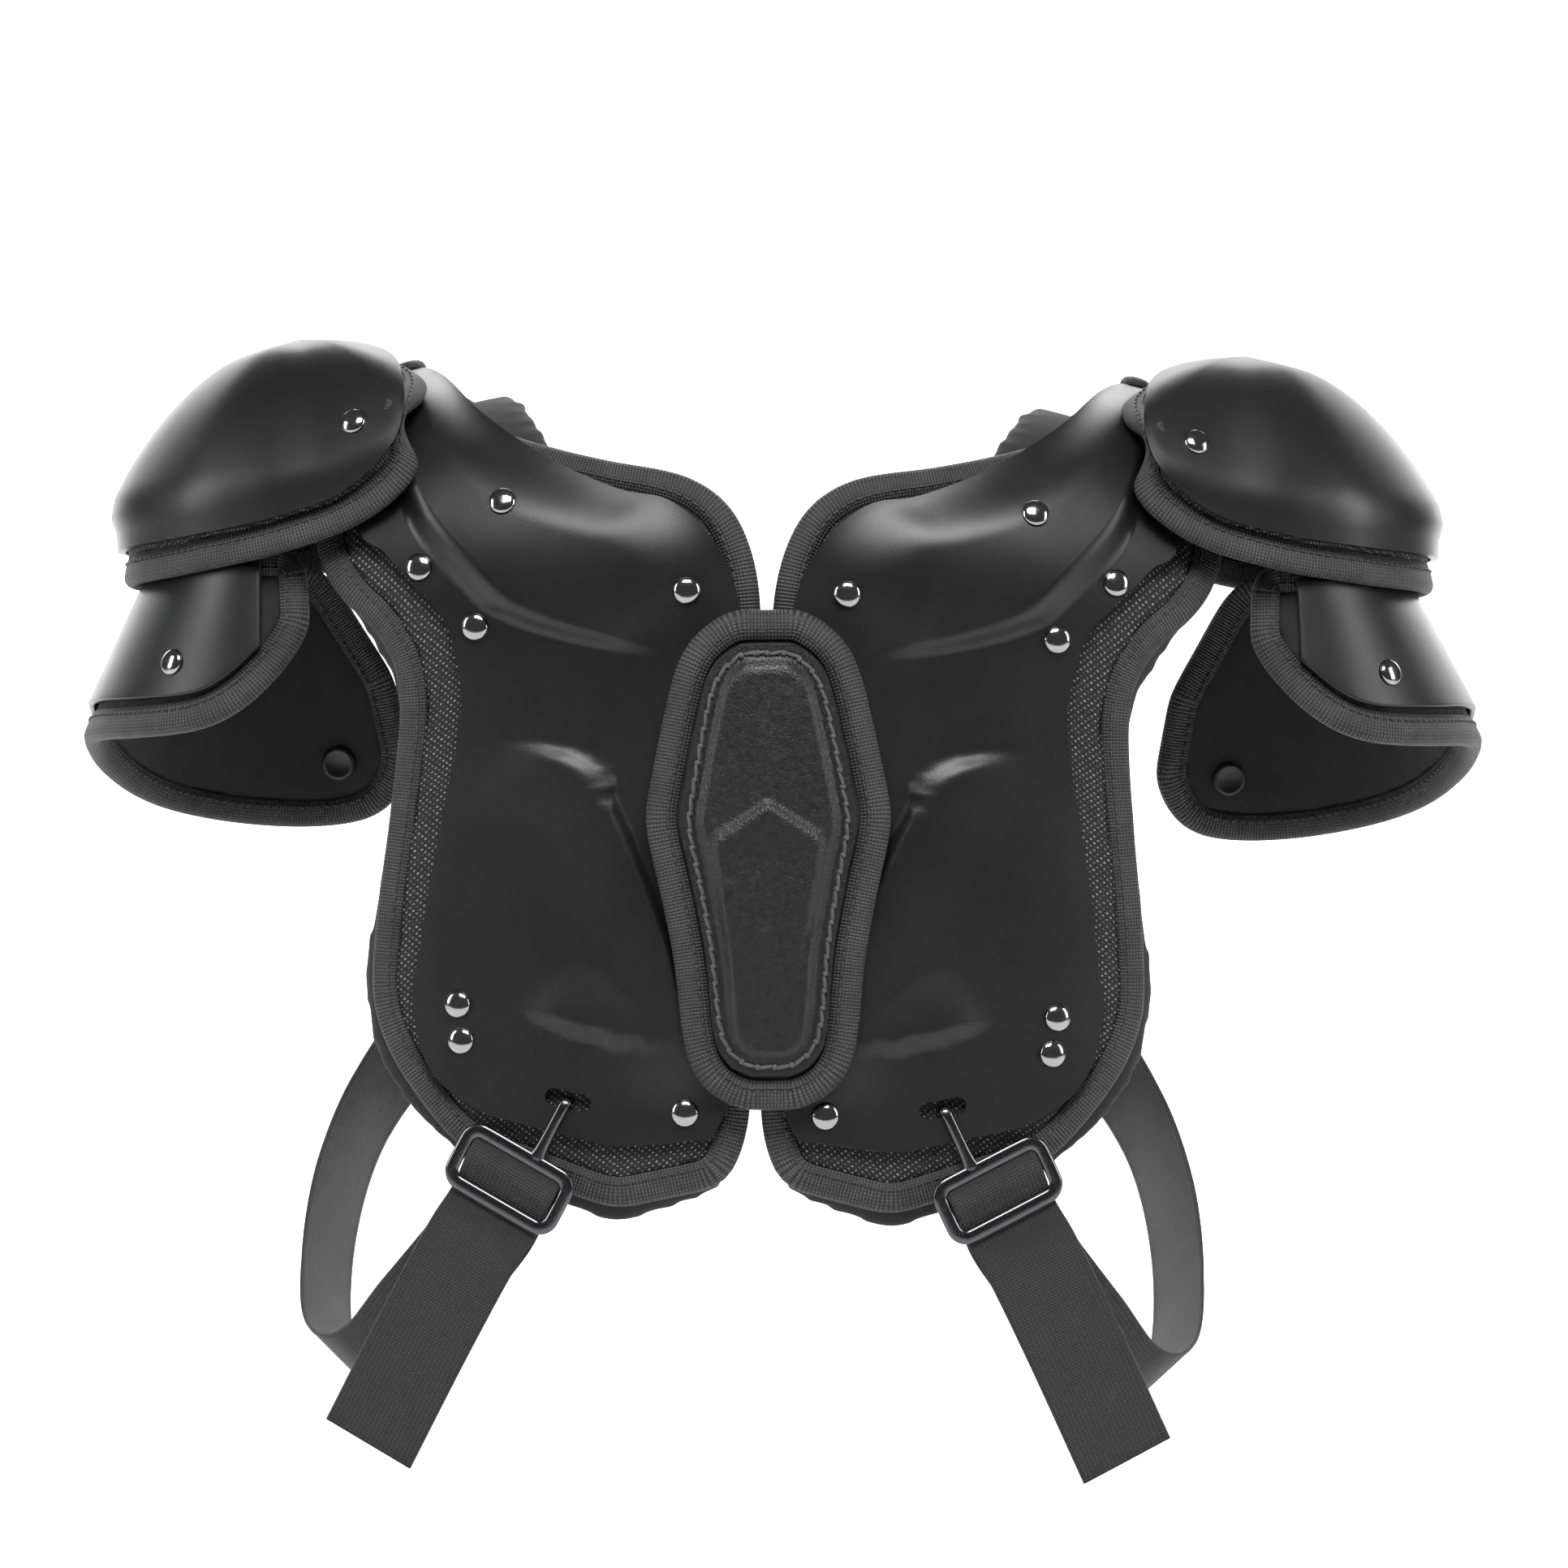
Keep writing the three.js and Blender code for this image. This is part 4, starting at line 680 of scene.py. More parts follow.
def tape_object(name, points, normals, faces_at):
    """Tape along a closed line on a surface; faces_at gives the foam's two faces in mm at each point."""
    outwards = frames_along(points, normals)
    sections = []
    for point, normal, outward, (bottom, top) in zip(points, normals, outwards, faces_at):
        profile = tape_profile(bottom, top)
        sections.append([point + (outward * out + normal * up) * MM for out, up in profile])
    return swept_object(name, sections), outwards


def stitch_object(name, line, pitch, length, radius, slant=0.0):
    """A row of thread stitches along a line of (point, normal, sideways), as one mesh."""
    points = []
    faces = []
    run = 0.0
    want = pitch
    sides = 6
    rings = ((-0.5, 0.35), (-0.3, 0.9), (0, 1), (0.3, 0.9), (0.5, 0.35))
    for (a, normal, sideways), (b, _, _) in zip(line, line[1:]):
        span = (b - a).length
        while run + span >= want:
            centre = a.lerp(b, (want - run) / span)
            along = ((b - a).normalized() + sideways * slant).normalized()
            across = along.cross(normal).normalized()
            start = len(points)
            for place, share in rings:
                for s in range(sides):
                    angle = math.tau * s / sides
                    offset = across * math.cos(angle) + normal * math.sin(angle)
                    points.append(centre + along * place * length + offset * radius * share)
            for r in range(len(rings) - 1):
                for s in range(sides):
                    t = (s + 1) % sides
                    base = start + r * sides
                    faces.append([base + s, base + t, base + sides + t, base + sides + s])
            faces.append([start + s for s in range(sides)])
            faces.append([start + (len(rings) - 1) * sides + s for s in reversed(range(sides))])
            want += pitch
        run += span
    return mesh_object(name, points, faces)


def woven_material(name, color, thread, rib, warp, depth):
    """Woven tape or webbing: ribs across it at one pitch, threads along it at another, both in metres."""
    shader = Shader(name, color, 0.6)
    where = shader.place("UV")
    parts = shader.add("ShaderNodeSeparateXYZ", {"Vector": where}).outputs
    ribs = shader.math("SINE", shader.math("MULTIPLY", parts["X"], math.tau / rib))
    warps = shader.math("SINE", shader.math("MULTIPLY", parts["Y"], math.tau / warp))
    raised = shader.math("MULTIPLY", shader.ramp(ribs, -1, 1), shader.ramp(warps, -1, 1, 0.35, 1))
    fuzz = shader.noise(where, 1800, 3, 0.7)
    # Painted highlight: the raised crests of the weave are painted lighter, towards the colour thread, more
    # in some patches than in others.
    patchy_highlight = shader.ramp(shader.noise(where, 60, 3, 0.6), 0.35, 0.7, 0.6, 1.3)
    lit = shader.math("MULTIPLY", shader.math("MULTIPLY", raised, patchy_highlight), 0.8)
    shader.link(shader.mix(lit, (*color, 1), (*thread, 1)), "Base Color")
    shader.surface.inputs["Sheen Weight"].default_value = 0.03
    shader.link(shader.bump(raised, 0.8, depth, shader.bump(fuzz, 0.25, 0.0002)), "Normal")
    return shader.material


def thread_material(name, color):
    shader = Shader(name, color, 0.5)
    twist = shader.noise(shader.place(), 3500, 2, 0.6)
    shader.link(shader.bump(twist, 0.5, 0.0002), "Normal")
    shader.surface.inputs["Sheen Weight"].default_value = 0.1
    return shader.material


# The second colour of each weave is the painted highlight on its rib crests, not a thread of another colour.
binding_weave = woven_material("ribbed binding tape", (0.004, 0.004, 0.0042), (0.08, 0.08, 0.082),
                               1.25 * MM, 1.3 * MM, 0.0006)
dark_thread = thread_material("black thread", (0.018, 0.018, 0.019))


def sew_seam(name, line, pitch=3.6, length=2.6):
    """The row of stitches that holds a tape, on a closed line of (point, normal, sideways)."""
    seam = stitch_object(name, line + line[:1], pitch * MM, length * MM, SEAM_THREAD_RADIUS * MM)
    fix(seam, dark_thread, [])


def bind_liner(name, rim, side, faces_of, nodes):
    flat = even_loop(rim, TAPE_SPACING)
    points = [on_body(p.x, p.y, 0, side) for p in flat]
    normals = [(on_body(p.x, p.y, 1, side) - on_body(p.x, p.y, 0, side)).normalized() for p in flat]
    faces_at = [faces_of(p.y) for p in flat]
    tape, outwards = tape_object(name, points, normals, faces_at)
    fix(tape, binding_weave, nodes)
    line = [
        (p + (n * (top + SEAM_STAND) - o * 0.2) * MM, n, o)
        for p, n, o, (_, top) in zip(points, normals, outwards, faces_at)
    ]
    sew_seam(f"{name}_seam", line)


for side, word in ((-1, "left"), (1, "right")):
    bind_liner(f"chest_tape_{word}", liner_rims[word], side, liner_faces, [f"front_binding_{word}"])

# Body pads: the smooth soft pads next to the wearer, one a side, from the chest over the shoulder to the
# back; foam 13 mm thick in a knitted black cover, held under the liners.
PAD_THICKNESS = 12.6


def pad_faces(fall):
    return 0.0, PAD_THICKNESS - 3.8 * thinning(fall)


def knit_material(name, color):
    """A smooth close knit: fine stitches in columns, and soft broad creases with painted light on their
    raised parts.
    """
    shader = Shader(name, color, 0.82)
    where = shader.place("UV")
    parts = shader.add("ShaderNodeSeparateXYZ", {"Vector": where}).outputs
    columns = shader.math("SINE", shader.math("MULTIPLY", parts["X"], math.tau / 0.0008))
    courses = shader.math("SINE", shader.math("MULTIPLY", parts["Y"], math.tau / 0.0011))
    stitches = shader.math("MULTIPLY", columns, courses)
    creases = shader.noise(where, 26, 3, 0.55)
    light = tuple(c * 1.7 for c in color)
    # Painted light: where the creases stand up, the cover is painted lighter.
    shader.link(shader.mix(shader.ramp(creases, 0.35, 0.7), (*color, 1), (*light, 1)), "Base Color")
    shader.surface.inputs["Sheen Weight"].default_value = 0.05
    shader.link(shader.bump(stitches, 0.25, 0.0002, shader.bump(creases, 0.35, 0.003)), "Normal")
    return shader.material


soft_knit = knit_material("soft knit cover", (0.004, 0.004, 0.0043))

BODY_PAD_ROWS = [
    [0.1, 1.075, 0.42, 1.088, 0.88, 0.99],
    [0.033, 1.006, 0.5, 1, 1.117, 0.891],
    [0.033, 0.886, 0.583, 0.857, 1.225, 0.8],
    [0.033, 0.757, 0.583, 0.749, 1.233, 0.709],
    [0.033, 0.643, 0.583, 0.629, 1.192, 0.614],
    [0.033, 0.529, 0.583, 0.52, 1.158, 0.514],
    [0.067, 0.451, 0.6, 0.443, 1.2, 0.429],
    [0.167, 0.391, 0.65, 0.377, 1.3, 0.354],
    [0.35, 0.343, 0.75, 0.314, 1.383, 0.291],
    [0.517, 0.28, 0.875, 0.251, 1.4, 0.229],
    [0.67, 0.2, 0.933, 0.171, 1.383, 0.157],
    [0.77, 0.1, 1, 0.086, 1.333, 0.08],
    [0.83, 0, 1.05, 0, 1.3, 0],
    [0.8, -0.091, 1, -0.091, 1.317, -0.091],
    [0.68, -0.185, 0.92, -0.177, 1.35, -0.183],
    [0.5, -0.262, 0.82, -0.263, 1.333, -0.28],
    [0.25, -0.31, 0.667, -0.329, 1.25, -0.357],
    [0.06, -0.355, 0.583, -0.414, 1.175, -0.443],
    [0.033, -0.429, 0.583, -0.529, 1.15, -0.543],
    [0.033, -0.6, 0.583, -0.643, 1.183, -0.643],
    [0.033, -0.757, 0.5, -0.771, 1.167, -0.749],
    [0.067, -0.891, 0.417, -0.909, 0.983, -0.871],
]
for side, word in ((-1, "left"), (1, "right")):
    grid = flat_grid(BODY_PAD_ROWS, 4, 12, 12)
    lower, upper, places = layer_surfaces(grid, side, pad_faces, 0.7)
    pad = sheet_object(f"inner_pad_{word}", upper, lower, places)
    fill_foam(pad, upper, places, 3.5 * MM)
    fix(pad, soft_knit, [f"body_pad_{word}"])

# Back plates, liners and tape: the same three layers behind, which the picture doesn't show, finished
# plainly, with one flat moulded plate riveted across both backs.
BACK_SPREAD = 0.8
BACK_PLATE_ROWS = [
    [1.142, -0.009, 1.2, -0.009, 1.267, -0.009],
    [1.083, -0.069, 1.183, -0.086, 1.275, -0.114],
    [0.95, -0.131, 1.117, -0.177, 1.267, -0.217],
    [0.8, -0.2, 1, -0.251, 1.183, -0.297],
    [0.56, -0.258, 0.8, -0.303, 1.067, -0.354],
    [0.32, -0.3, 0.625, -0.349, 0.958, -0.417],
    [0.15, -0.345, 0.5, -0.406, 0.917, -0.491],
    [0.08, -0.41, 0.458, -0.5, 0.933, -0.586],
    [0.079, -0.514, 0.458, -0.614, 0.983, -0.686],
    [0.079, -0.671, 0.458, -0.729, 0.983, -0.771],
    [0.117, -0.814, 0.417, -0.829, 0.817, -0.846],
]
BACK_LINER_ROWS = [
    [1, -0.12, 1.14, -0.12, 1.3, -0.13],
    [0.9, -0.18, 1.1, -0.2, 1.32, -0.22],
    [0.76, -0.245, 1, -0.263, 1.28, -0.3],
    [0.56, -0.285, 0.833, -0.317, 1.2, -0.357],
    [0.34, -0.325, 0.667, -0.357, 1.125, -0.4],
    [0.17, -0.37, 0.542, -0.429, 1.067, -0.471],
    [0.09, -0.43, 0.5, -0.529, 1.05, -0.571],
    [0.086, -0.571, 0.5, -0.643, 1.092, -0.671],
    [0.086, -0.729, 0.458, -0.757, 1.067, -0.771],
    [0.125, -0.851, 0.417, -0.857, 0.875, -0.857],
]


def back_plate_faces(fall):
    return PLATE_BOTTOM + 2 * BACK_SPREAD, PLATE_TOP + 2 * BACK_SPREAD


def back_liner_faces(fall):
    return liner_faces(fall, BACK_SPREAD)


for side, word in ((-1, "left"), (1, "right")):
    grid = flat_grid(BACK_PLATE_ROWS, 6, 14, 14)
    lower, upper, places = layer_surfaces(grid, side, back_plate_faces)
    plate = round_edges(sheet_object(f"back_plate_{word}", upper, lower, places), 1.1 * MM)
    fix(plate, plastic, [f"back_shell_{word}"])
    grid = flat_grid(BACK_LINER_ROWS, 6, 14, 14)
    lower, upper, places = layer_surfaces(grid, side, back_liner_faces)
    liner = sheet_object(f"back_foam_{word}", upper, lower, places)
    rim = rim_of(grid)
    gripped = [on_body(out, fall, sum(back_liner_faces(fall)) / 2, side) for out, fall, _ in rim]
    fill_foam(liner, upper, places, 0.8 * MM, gripped)
    fix(liner, spacer_mesh, [f"back_liner_{word}"])
    bind_liner(f"back_tape_{word}", rim, side, back_liner_faces, [f"back_binding_{word}"])

BRIDGE_WIDTH = 84 * MM
BRIDGE_HEIGHT = 64 * MM
BRIDGE_FACE = 124.8 * MM
BRIDGE_CORNER = 8 * MM
bridge_low, bridge_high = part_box("back_bridge")
bridge_middle = (bridge_low[2] + bridge_high[2]) / 2
bridge_points = []
for y in (BRIDGE_FACE - PLATE_THICKNESS * MM, BRIDGE_FACE):
    for x, z in ((-1, -1), (1, -1), (1, 1), (-1, 1)):
        for step in range(7):
            angle = math.atan2(z, x) - math.pi / 4 + math.pi / 2 * step / 6
            bridge_points.append(Vector((
                x * (BRIDGE_WIDTH / 2 - BRIDGE_CORNER) + math.cos(angle) * BRIDGE_CORNER,
                y,
                bridge_middle + z * (BRIDGE_HEIGHT / 2 - BRIDGE_CORNER) + math.sin(angle) * BRIDGE_CORNER,
            )))
ring = len(bridge_points) // 2
bridge_faces = [list(range(ring)), list(range(2 * ring - 1, ring - 1, -1))]
bridge_faces += [[i, (i + 1) % ring, ring + (i + 1) % ring, ring + i] for i in range(ring)]
bridge = round_edges(mesh_object("bridge_plate", bridge_points, bridge_faces), 0.9 * MM)
fix(bridge, plastic, ["back_bridge"])

# Shoulder caps: moulded domes with a hollow above a flared rim, each over a foam pad lined with mesh and
# bound with tape. The two are hung on one small turn, up at the picture's right and down at its left.
CAP_CENTRE = 185
CAP_TOP = 34.4
CAP_REACH = 81
CAP_HALF_DEPTH = 111
CAP_RIDGE = 45
CAP_DROP = 98
CAP_MARGIN = 10.6
CAP_PAD_TOP = -4.8
CAP_PAD_BOTTOM = -10.8
CAP_PIVOT = Vector((0.165, 0, 0.03))
CAP_TURN = math.radians(2.8)
# The rim, from the outer side round the front to the inner notch: out, depth, drop, and the hub's share
CAP_RIM = [
    (1, 0, 1, 0), (0.9, 0.49, 1, 0.55), (0.56, 0.8, 0.99, 0.9), (0.17, 0.94, 0.95, 1), (-0.2, 0.99, 0.86, 1),
    (-0.46, 1.02, 0.72, 1), (-0.6, 1, 0.56, 1), (-0.65, 0.89, 0.38, 1), (-0.63, 0.71, 0.21, 0.9),
    (-0.48, 0.46, 0.08, 0.62), (-0.31, 0.2, 0.02, 0.27), (-0.22, 0, 0.01, 0),
]
# The section from the top to the rim: way, reach, drop and how far it is pinched in
CAP_SECTION = [
    (0, 0, 0, 0), (0.3, 0.38, 0.08, 0), (0.6, 0.7, 0.3, 0), (0.82, 0.93, 0.62, -0.02),
    (0.91, 0.97, 0.8, 0.04), (1, 1, 1, 0),
]
CAP_TURNS = 2 * (len(CAP_RIM) - 1)
CAP_FINE = 6


def cap_rim(turn):
    """The rim's smooth values at a place round it, front and back."""
    start = math.floor(turn)
    rows = []
    for number in (start - 1, start, start + 1, start + 2):
        wrapped = number % CAP_TURNS
        front = wrapped < len(CAP_RIM)
        out, depth, drop, hub = CAP_RIM[wrapped if front else CAP_TURNS - wrapped]
        rows.append((out, depth if front else -depth, drop, hub if front else -hub))
    return along_rows(rows, 1 + turn - start)


def cap_section(way):
    further = [i for i, row in enumerate(CAP_SECTION) if row[0] >= way - 1e-9]
    number = max(1, further[0] if further else len(CAP_SECTION) - 1)
    first, second = CAP_SECTION[number - 1][0], CAP_SECTION[number][0]
    return along_rows(CAP_SECTION, number - 1 + (way - first) / (second - first))


def cap_point(turn, way):
    out, depth, drop, hub = cap_rim(turn)
    _, reach, fall, pinch = cap_section(way)
    reach -= pinch * drop
    hub_depth = hub * CAP_RIDGE
    return Vector((
        CAP_CENTRE + out * CAP_REACH * reach,
        -(hub_depth + (depth * CAP_HALF_DEPTH - hub_depth) * reach),
        CAP_TOP - CAP_DROP * drop * fall,
    ))


def cap_normal(turn, way):
    along = cap_point(turn, min(1, way + 0.02)) - cap_point(turn, max(0, way - 0.02))
    around = cap_point(turn + 0.1, way) - cap_point(turn - 0.1, way)
    normal = around.cross(along).normalized()
    guide = cap_point(turn, 1) - cap_point(turn, 0)
    guide = Vector((guide.x, guide.y, 0)).normalized() * 0.5 + Vector((0, 0, 0.5))
    return -normal if normal.dot(guide) < 0 else normal


def cap_way(turn, margin):
    """How far down the section the edge lies that keeps a margin to the rim."""
    tangent = (cap_point(turn + 0.2, 1) - cap_point(turn - 0.2, 1)).normalized()
    down = cap_point(turn, 1) - cap_point(turn, 0)
    across = (down - tangent * down.dot(tangent)).length
    return max(0.35, 1 - margin / across)


def hung(point, side):
    """A point of the cap or the arm pad, in metres, mirrored to its side and turned about the shoulder."""
    turn = (
        Matrix.Translation(Vector((side * CAP_PIVOT.x, 0, CAP_PIVOT.z)))
        @ Matrix.Rotation(-CAP_TURN, 4, "Y")
        @ Matrix.Translation(Vector((-side * CAP_PIVOT.x, 0, -CAP_PIVOT.z)))
    )
    return turn @ (Vector((point.x * side, point.y, point.z)) * MM)


def shell_margin(turn):
    """The shell's edge lies further in at the front and back of the notch, where the tape shows."""
    from_outside = min(turn, CAP_TURNS - turn)
    return CAP_MARGIN + 7 * ease(4, 6.5, from_outside) * (1 - ease(9.5, 11, from_outside))


def cap_grid(margin, lift, side, ways=26):
    """Rings of points from the cap's top to its edge; margin is a width in mm, or a function of the turn."""
    grid = []
    for number in range(1, ways + 1):
        share = number / ways
        line = []
        for step in range(CAP_TURNS * CAP_FINE):
            turn = step / CAP_FINE
            way = cap_way(turn, margin(turn) if callable(margin) else margin) * share
            line.append(hung(cap_point(turn, way) + cap_normal(turn, way) * lift, side))
        grid.append(line)
    return grid


def dome_object(name, upper, lower, upper_top, lower_top):
    """A closed dome from rings of points below each of two tops."""
    count = len(upper[0])
    points = [upper_top] + [p for line in upper for p in line]
    points += [lower_top] + [p for line in lower for p in line]
    second = 1 + len(upper) * count
    faces = []
    for start, flip in ((0, False), (second, True)):
        for s in range(count):
            t = (s + 1) % count
            corner = [start, start + 1 + s, start + 1 + t]
            faces.append(corner[::-1] if flip else corner)
            for r in range(len(upper) - 1):
                a = start + 1 + r * count
                quad = [a + s, a + count + s, a + count + t, a + t]
                faces.append(quad[::-1] if flip else quad)
    rim_upper = 1 + (len(upper) - 1) * count
    rim_lower = second + rim_upper
    for s in range(count):
        t = (s + 1) % count
        faces.append([rim_upper + s, rim_lower + s, rim_lower + t, rim_upper + t])
    return mesh_object(name, points, faces)


def dome_places(grid):
    """Flat positions for a dome's cloth: the way down from the top, turned about it."""
    places = [[] for _ in grid]
    for s in range(len(grid[0])):
        run = 0.0
        first = grid[0][s] - (grid[0][0] + grid[0][len(grid[0]) // 2]) / 2
        angle = math.tau * s / len(grid[0])
        before = None
        for r, line in enumerate(grid):
            run += first.length if before is None else (line[s] - before).length
            before = line[s]
            places[r].append((math.cos(angle) * run, math.sin(angle) * run))
    return places


for side, word in ((-1, "left"), (1, "right")):
    tops = [hung(Vector((CAP_CENTRE, 0, CAP_TOP + lift)), side) for lift in (0, -PLATE_THICKNESS)]
    shell = dome_object(f"cap_{word}", cap_grid(shell_margin, 0, side),
                        cap_grid(shell_margin, -PLATE_THICKNESS, side), *tops)
    round_edges(shell, 1.1 * MM)
    fix(shell, plastic, [f"cap_shell_{word}"])

    tops = [hung(Vector((CAP_CENTRE, 0, CAP_TOP + lift)), side) for lift in (CAP_PAD_TOP, CAP_PAD_BOTTOM)]
    upper = cap_grid(TAPE_WIDTH, CAP_PAD_TOP, side, 16)
    lower = cap_grid(TAPE_WIDTH, CAP_PAD_BOTTOM, side, 16)
    pad = dome_object(f"cap_foam_{word}", upper, lower, *tops)
    fill_foam(pad, upper, dome_places(upper), 0.9 * MM, upper[-1])
    fix(pad, spacer_mesh, [f"cap_pad_{word}"])

    turns = [step / 10 for step in range(CAP_TURNS * 10)]
    points = [hung(cap_point(t, cap_way(t, TAPE_WIDTH)), side) for t in turns]
    normals = []
    for turn, point in zip(turns, points):
        way = cap_way(turn, TAPE_WIDTH)
        normals.append((hung(cap_point(turn, way) + cap_normal(turn, way), side) - point).normalized())
    faces_at = [(CAP_PAD_BOTTOM, CAP_PAD_TOP)] * len(points)
    tape, outwards = tape_object(f"cap_tape_{word}", points, normals, faces_at)
    fix(tape, binding_weave, [f"cap_binding_{word}"])
    line = [
        (p + (n * (CAP_PAD_TOP + SEAM_STAND) + o * 0.3) * MM, n, o)
        for p, n, o in zip(points, normals, outwards)
    ]
    sew_seam(f"cap_tape_seam_{word}", line)

# Arm pads: knit covered flaps that hang round the upper arms from an elastic web under each cap, with a small
# moulded plate outside, tape round the edge and a round button on the lobe behind.
ARM_CENTRE = 195
ARM_TOP = -57
ARM_FALL = 91
ARM_HALF_WIDTH = 44
ARM_HALF_DEPTH = 78
ARM_FLARE_OUT = 0.5
ARM_FLARE_DEPTH = 0.15
ARM_ARC_RADIUS = 80
ARM_PAD_THICKNESS = 7
ARM_PLATE_BOTTOM = 8
ARM_PLATE_TOP = 11
# Its edge: the angle round the arm, with 0 outwards and 90 in front, and the top's and the hem's fall
ARM_ROWS = [
    (-114, 0.45, 0.78), (-106, 0.25, 0.95), (-92, 0, 1), (-72, 0, 0.98), (-48, 0, 0.9), (-24, 0, 0.76),
    (0, 0, 0.64), (25, 0, 0.61), (50, 0, 0.6), (72, 0, 0.56), (88, 0, 0.38), (97, 0, 0.22),
]


def arm_point(around, fall):
    angle = around / ARM_ARC_RADIUS
    width = ARM_HALF_WIDTH + ARM_FLARE_OUT * fall
    depth = ARM_HALF_DEPTH + ARM_FLARE_DEPTH * fall
    return Vector((ARM_CENTRE + width * math.cos(angle), -depth * math.sin(angle), ARM_TOP - fall))


def on_arm(around, fall, lift, side):
    across = arm_point(around + 1, fall) - arm_point(around - 1, fall)
    along = arm_point(around, fall + 1) - arm_point(around, fall - 1)
    normal = along.cross(across).normalized()
    angle = around / ARM_ARC_RADIUS
    if normal.dot(Vector((math.cos(angle), -math.sin(angle), 0))) < 0:
        normal = -normal
    return hung(arm_point(around, fall) + normal * lift, side)


def arm_grid(rows, per_row, steps):
    """Flat places of a piece round the arm: the way round and the fall."""
    grid = []
    for number in range((len(rows) - 1) * per_row + 1):
        angle, top, low = along_rows(rows, number / per_row)
        around = math.radians(angle) * ARM_ARC_RADIUS
        grid.append([(around, ARM_FALL * (top + (low - top) * s / steps), 0) for s in range(steps + 1)])
    return grid


def arm_surfaces(grid, side, bottom, top):
    lower = [[on_arm(u, v, bottom, side) for u, v, _ in line] for line in grid]
    upper = [[on_arm(u, v, top, side) for u, v, _ in line] for line in grid]
    return lower, upper, [[(u * MM, v * MM) for u, v, _ in line] for line in grid]


arm_plate_rows = [
    (angle, top - 0.01, max(top + 0.3, low - 0.05)) for angle, top, low in ARM_ROWS if -72 <= angle <= 88
]
for side, word in ((-1, "left"), (1, "right")):
    grid = arm_grid(ARM_ROWS, 6, 16)
    lower, upper, places = arm_surfaces(grid, side, 0, ARM_PAD_THICKNESS)
    pad = sheet_object(f"arm_foam_{word}", upper, lower, places)
    rim = rim_of(grid)
    gripped = [on_arm(u, v, ARM_PAD_THICKNESS / 2, side) for u, v, _ in rim]
    fill_foam(pad, upper, places, 1.6 * MM, gripped)
    fix(pad, soft_knit, [f"arm_pad_{word}"])

    grid = arm_grid(arm_plate_rows, 6, 12)
    lower, upper, places = arm_surfaces(grid, side, ARM_PLATE_BOTTOM, ARM_PLATE_TOP)
    plate = round_edges(sheet_object(f"arm_plate_{word}", upper, lower, places), 1.0 * MM)
    fix(plate, plastic, [f"arm_shell_{word}"])

    flat = even_loop(rim, TAPE_SPACING)
    points = [on_arm(p.x, p.y, 0, side) for p in flat]
    normals = [(on_arm(p.x, p.y, 1, side) - on_arm(p.x, p.y, 0, side)).normalized() for p in flat]
    outwards = [(points[(i + 1) % len(points)] - points[i - 1]).normalized().cross(normals[i])
                for i in range(len(points))]
    hem = max(range(len(flat)), key=lambda i: flat[i].y)
    down = on_arm(flat[hem].x, flat[hem].y + 1, 0, side) - points[hem]
    if outwards[hem].dot(down) < 0:
        outwards = [-o for o in outwards]
    profile = tape_profile(0, ARM_PAD_THICKNESS)
    sections = [
        [p + (o * out + n * up) * MM for out, up in profile] for p, n, o in zip(points, normals, outwards)
    ]
    tape = swept_object(f"arm_tape_{word}", sections)
    fix(tape, binding_weave, [f"arm_binding_{word}"])
    for face, height in (("outer", ARM_PAD_THICKNESS + SEAM_STAND), ("inner", -SEAM_STAND)):
        line = [(p + (n * height - o * 0.2) * MM, n, o) for p, n, o in zip(points, normals, outwards)]
        sew_seam(f"arm_tape_{face}_seam_{word}", line)

# The elastic webs that the arm pads hang from, each from inside the cap's pad to the arm pad's outside
WEB_HALF_WIDTH = 12.5
WEB_THICKNESS = 1.8
# What each row of the web lies on, and its place there as a share of the cap's way or the arm pad's fall
WEB_ROWS = [
    ("cap", 0.6), ("cap", 0.72), ("cap", 0.82), ("arm", -0.11), ("arm", -0.04), ("arm", 0.03), ("arm", 0.13),
]
# Its second colour is the painted highlight on the rib crests.
elastic_weave = woven_material("elastic webbing", (0.0025, 0.0025, 0.0027), (0.024, 0.024, 0.025),
                               1.1 * MM, 1.7 * MM, 0.0006)
for side, word in ((-1, "left"), (1, "right")):
    faces_of_web = []
    for lift in (WEB_THICKNESS, 0):
        face = []
        for on, place in WEB_ROWS:
            line = []
            for step in range(7):
                share = step / 3 - 1
                if on == "arm":
                    above = ARM_PAD_THICKNESS + 0.5 + lift
                    line.append(on_arm(share * WEB_HALF_WIDTH, place * ARM_FALL, above, side))
                else:
                    turn = share * WEB_HALF_WIDTH / (CAP_RIM[1][1] * CAP_HALF_DEPTH)
                    way = cap_way(turn, CAP_MARGIN) * place
                    under = cap_normal(turn, way) * (CAP_PAD_BOTTOM - 0.5 - WEB_THICKNESS + lift)
                    line.append(hung(cap_point(turn, way) + under, side))
            face.append(line)
        faces_of_web.append(face)
    run = [0.0]
    for a, b in zip(faces_of_web[0], faces_of_web[0][1:]):
        run.append(run[-1] + (b[3] - a[3]).length)
    places = [[(u, (step / 3 - 1) * WEB_HALF_WIDTH * MM) for step in range(7)] for u in run]
    web = round_edges(sheet_object(f"arm_hanger_{word}", *faces_of_web, places), 0.5 * MM)
    fix(web, elastic_weave, [f"arm_web_{word}"])

# Breastbone shield: a stiff plate covered in pebbled black leather with a raised arrow, whip
# stitched with cord onto a taped foam pad that lies over both chest plates.
SHIELD_HALF_WIDTH = 46
SHIELD_TOP = -70
SHIELD_HEIGHT = 187
SHIELD_TILT = math.radians(1.8)
SHIELD_LIFT = 26
SHIELD_PAD_THICKNESS = 8
SHIELD_MARGIN = 13
SHIELD_CROWN = 3.2
